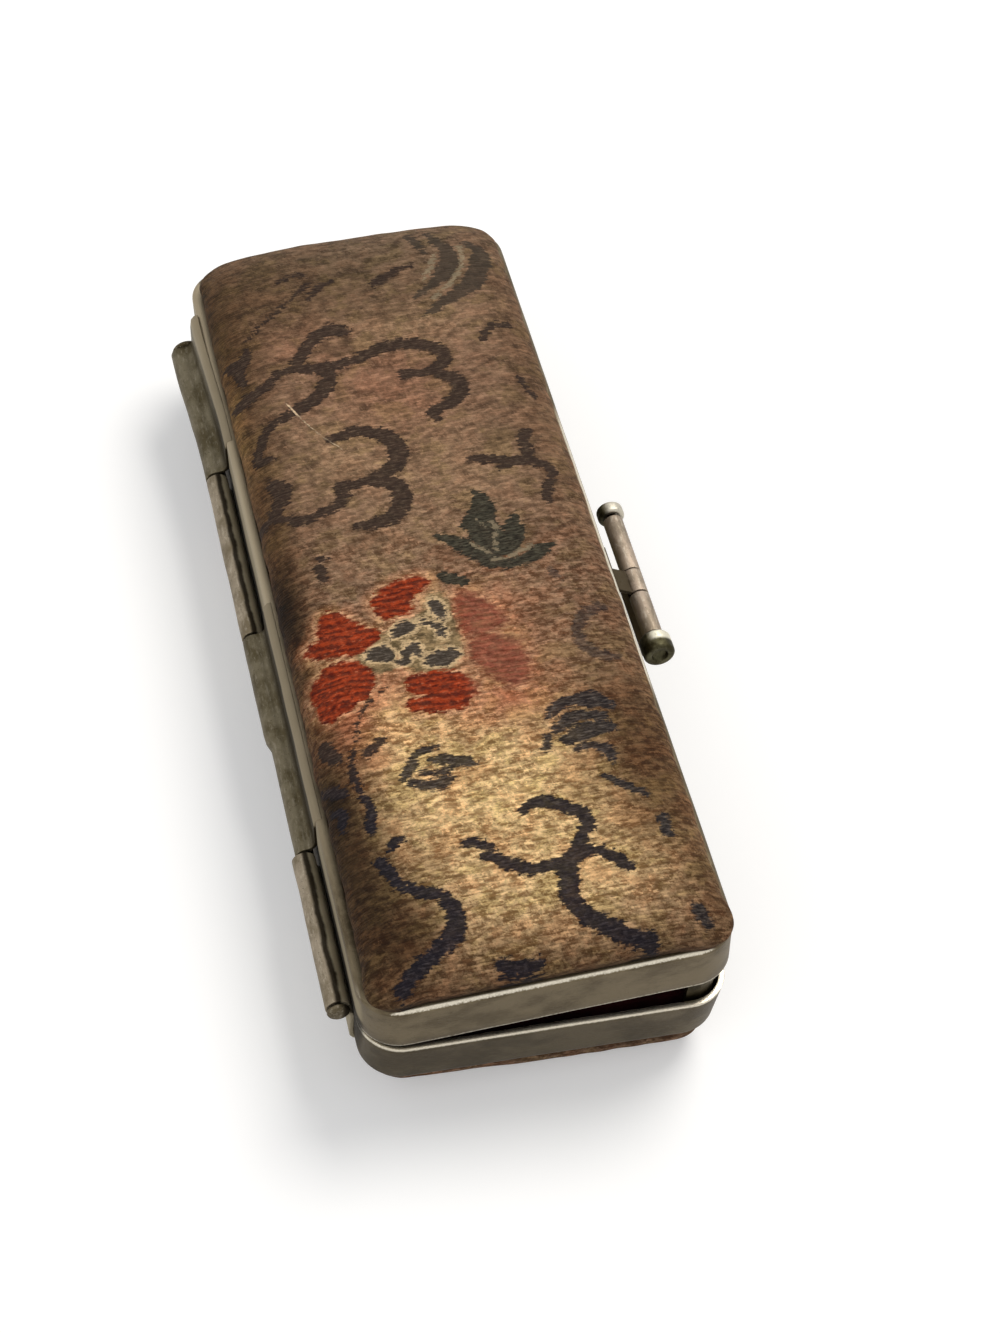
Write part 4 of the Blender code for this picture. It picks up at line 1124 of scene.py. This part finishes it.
wadding_sink, wadding_thickness = 0.56, 0.36


def wadding_finish(name):
    cotton = Finish(name, Roughness=0.95, Specular_IOR_Level=0.1)
    place = cotton.shut_place()
    tufts = cotton.noise(place, (0.9, 0.9, 0.9), 5, 0.7)
    fibres = cotton.noise(place, (7, 1.2, 3), 3, 0.6)
    colour = cotton.tint(paint(196, 186, 164), paint(228, 222, 206), tufts, 0.35, 0.65)
    return cotton.wear(Base_Color=colour, Normal=cotton.bump(tufts * 2.0 + fibres, 0.00008))


for name, body, side, top, pull, turn, node in (
        ("lid_wadding", "lid", lid_side, lid_top, lid_pull, lid_turn, "lid_padding"),
        ("base_wadding", "base", base_side, base_top, base_pull, None, "base_padding")):
    batt = pillow(name, side, top, crown=0.0, pull=pull, sink=wadding_sink,
                  thick=wadding_thickness)
    settle(batt, body, "wadding", wadding_finish(name + "_cotton"), node, turn=turn, angle=60)


# Ink pad: a round of felt soaked with vermilion paste, in a turned brass cup at the far end of the
# tray. Its top is domed, and dented where the seal has been pressed.

pad_radius, pad_bottom, pad_top, pad_y = 5.4 * MM, 5.2 * MM, 7.55 * MM, 31.9 * MM
dent_x, dent_y, dent_radius, dent_depth = MM, -0.6 * MM, 2.6 * MM, 0.22 * MM


def felt_pad(name, around=120):
    """Rings of points up the side, over the rounded edge and in to the middle of the top."""
    rings = [(0.0, pad_bottom), (0.6, pad_bottom), (0.94, pad_bottom), (1.0, pad_bottom + 0.2 * MM)]
    rings += [(1.0 - 0.0005 * k * k, pad_bottom + (0.2 + 0.25 * k) * MM) for k in range(1, 7)]
    rings += [(1 - 0.06 - 0.94 * share, pad_top - 0.35 * MM * (1 - share) ** 4)
              for share in np.linspace(0, 1, 34)]
    turns = np.arange(around) * 2 * pi / around
    points = np.concatenate([
        np.column_stack([pad_radius * reach * np.cos(turns), pad_radius * reach * np.sin(turns),
                         np.full(around, height)]) for reach, height in rings])
    on_top = ramp(points[:, 2], pad_top - 0.5 * MM, 0.4 * MM)
    points[:, 2] += (soft_bumps(points / MM, 2.6, 21) * 0.05 - 0.06) * MM * on_top
    from_dent = np.hypot(points[:, 0] - dent_x, points[:, 1] - dent_y) / dent_radius
    points[:, 2] -= dent_depth * np.exp(-from_dent ** 4) * on_top
    points[:, :2] *= 1 + (soft_bumps(points / MM, 3.4, 5) * 0.004)[:, None]
    points[:, 1] += pad_y
    return sew(ring_mesh(name, points, around, range(len(rings))), 0.0005 * MM)


def paste_finish(name):
    paste = Finish(name, Specular_IOR_Level=0.35)
    place = paste.shut_place()
    clots = paste.noise(place, (0.8, 0.8, 0.8), 4, 0.65)
    felt = paste.noise(place, (6, 6, 6), 4, 0.7)
    colour = paste.tint(paint(140, 20, 12), paint(198, 44, 24), clots, 0.36, 0.66)
    colour = paste.tint(colour, paint(96, 12, 10), felt, 0.56, 0.7, 0.5)
    return paste.wear(Base_Color=colour, Roughness=0.45 + clots * 0.4,
                      Normal=paste.bump(felt + clots * 2.0, 0.00006))


felt_round = felt_pad("felt_round")
settle(felt_round, "base", "vermilion_pad", paste_finish("vermilion_paste"), "ink_pad", angle=60)


# Tray and lid liner: thick mouldings pressed into the two halves, flocked a dark wine red. They
# hold the seal in a trough below and a hollow above, and the tray holds the ink cup.


def own_place(finish):
    """The place in millimetres of a piece that keeps its shape from the CAD."""
    return finish.times(finish.node("TexCoord", {}, {}, "Object"), (1 / MM,) * 3)


def dress(finish, *nodes):
    for node in nodes:
        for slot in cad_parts[node].material_slots:
            slot.material = finish


# The wine red is kept very dark, partly painted shade, so the gap between lid and base is black.
flock = Finish("wine_flock", Specular_IOR_Level=0.1)
nap = flock.noise(own_place(flock), (9, 9, 9), 3, 0.7)
brushed_nap = flock.noise(own_place(flock), (0.35, 0.2, 0.35), 3, 0.55)
flock_colour = flock.tint(paint(34, 10, 12), paint(50, 16, 19), brushed_nap, 0.38, 0.64)
flock_colour = flock.tint(flock_colour, paint(80, 32, 34), nap, 0.56, 0.7, 0.5)
dress(flock.wear(Base_Color=flock_colour, Roughness=0.92 + nap * 0.08,
                 Normal=flock.bump(nap, 0.00006)), "base_tray", "lid_liner")


# Card formers: grey-brown board pressed into the two pillow shapes. The wadding and the cloth are
# drawn over them, and the bands grip all three.

card = Finish("pressed_card", Roughness=0.9)
pulp = card.noise(own_place(card), (1.2, 1.2, 1.2), 5, 0.7)
flecks = card.noise(own_place(card), (6, 6, 6), 2, 0.6)
card_colour = card.tint(paint(142, 122, 94), paint(172, 152, 120), pulp, 0.36, 0.64)
card_colour = card.tint(card_colour, paint(96, 78, 58), flecks, 0.62, 0.7, 0.6)
dress(card.wear(Base_Color=card_colour, Normal=card.bump(pulp + flecks, 0.00003)),
      "base_shell", "lid_shell")


# Ink cup: a shallow round cup turned in brass, dropped into the tray's well. It is a little
# tarnished and shows the turning tool's rings.

cup = Finish("turned_brass", Metallic=1.0)
from_axis = cup.node("VectorMath", {"operation": "MULTIPLY_ADD"}, {
    0: own_place(cup), 1: (1, 1, 0), 2: (0, -pad_y / MM, 0)})
from_middle = cup.node("VectorMath", {"operation": "LENGTH"}, {0: from_axis}, "Value")
tarnish = cup.noise(own_place(cup), (0.5, 0.5, 0.5), 4, 0.6)
tool_marks = cup.maths("SINE", from_middle * 42.0 + tarnish * 6.0)
cup_colour = cup.tint(paint(150, 118, 62), paint(196, 160, 92), tarnish, 0.38, 0.62)
dress(cup.wear(Base_Color=cup_colour, Roughness=0.28 + tarnish * 0.25,
               Normal=cup.bump(tool_marks, 0.000004)), "ink_dish")


# Inner strip, catch and clasp pin: small parts of the same nickel silver. The strip is soldered
# upright inside the base's rim, the catch is a folded ledge, and the pin is drawn wire.


def plain_metal(name, dark, light, rough):
    metal = Finish(name, Metallic=1.0)
    clouds = metal.noise(own_place(metal), (0.5, 0.5, 0.8), 4, 0.6)
    grain = metal.noise(own_place(metal), (3, 3, 14), 3, 0.65)
    colour = metal.tint(dark, light, clouds, 0.38, 0.62)
    return metal.wear(Base_Color=colour, Roughness=rough + grain * 0.15 - 0.07,
                      Normal=metal.bump(grain, 0.000015))


# The strip is darker than the catch: painted shade where the lid shadows it.
dress(plain_metal("rim_strip_painted_shade_metal", paint(46, 41, 30), paint(70, 63, 48), 0.5), "base_inner_strip")
dress(plain_metal("catch_metal", paint(78, 70, 54), paint(112, 102, 84), 0.45), "base_catch")
dress(plain_metal("clasp_pin_metal", paint(60, 55, 46), paint(92, 86, 74), 0.4), "latch_pin")
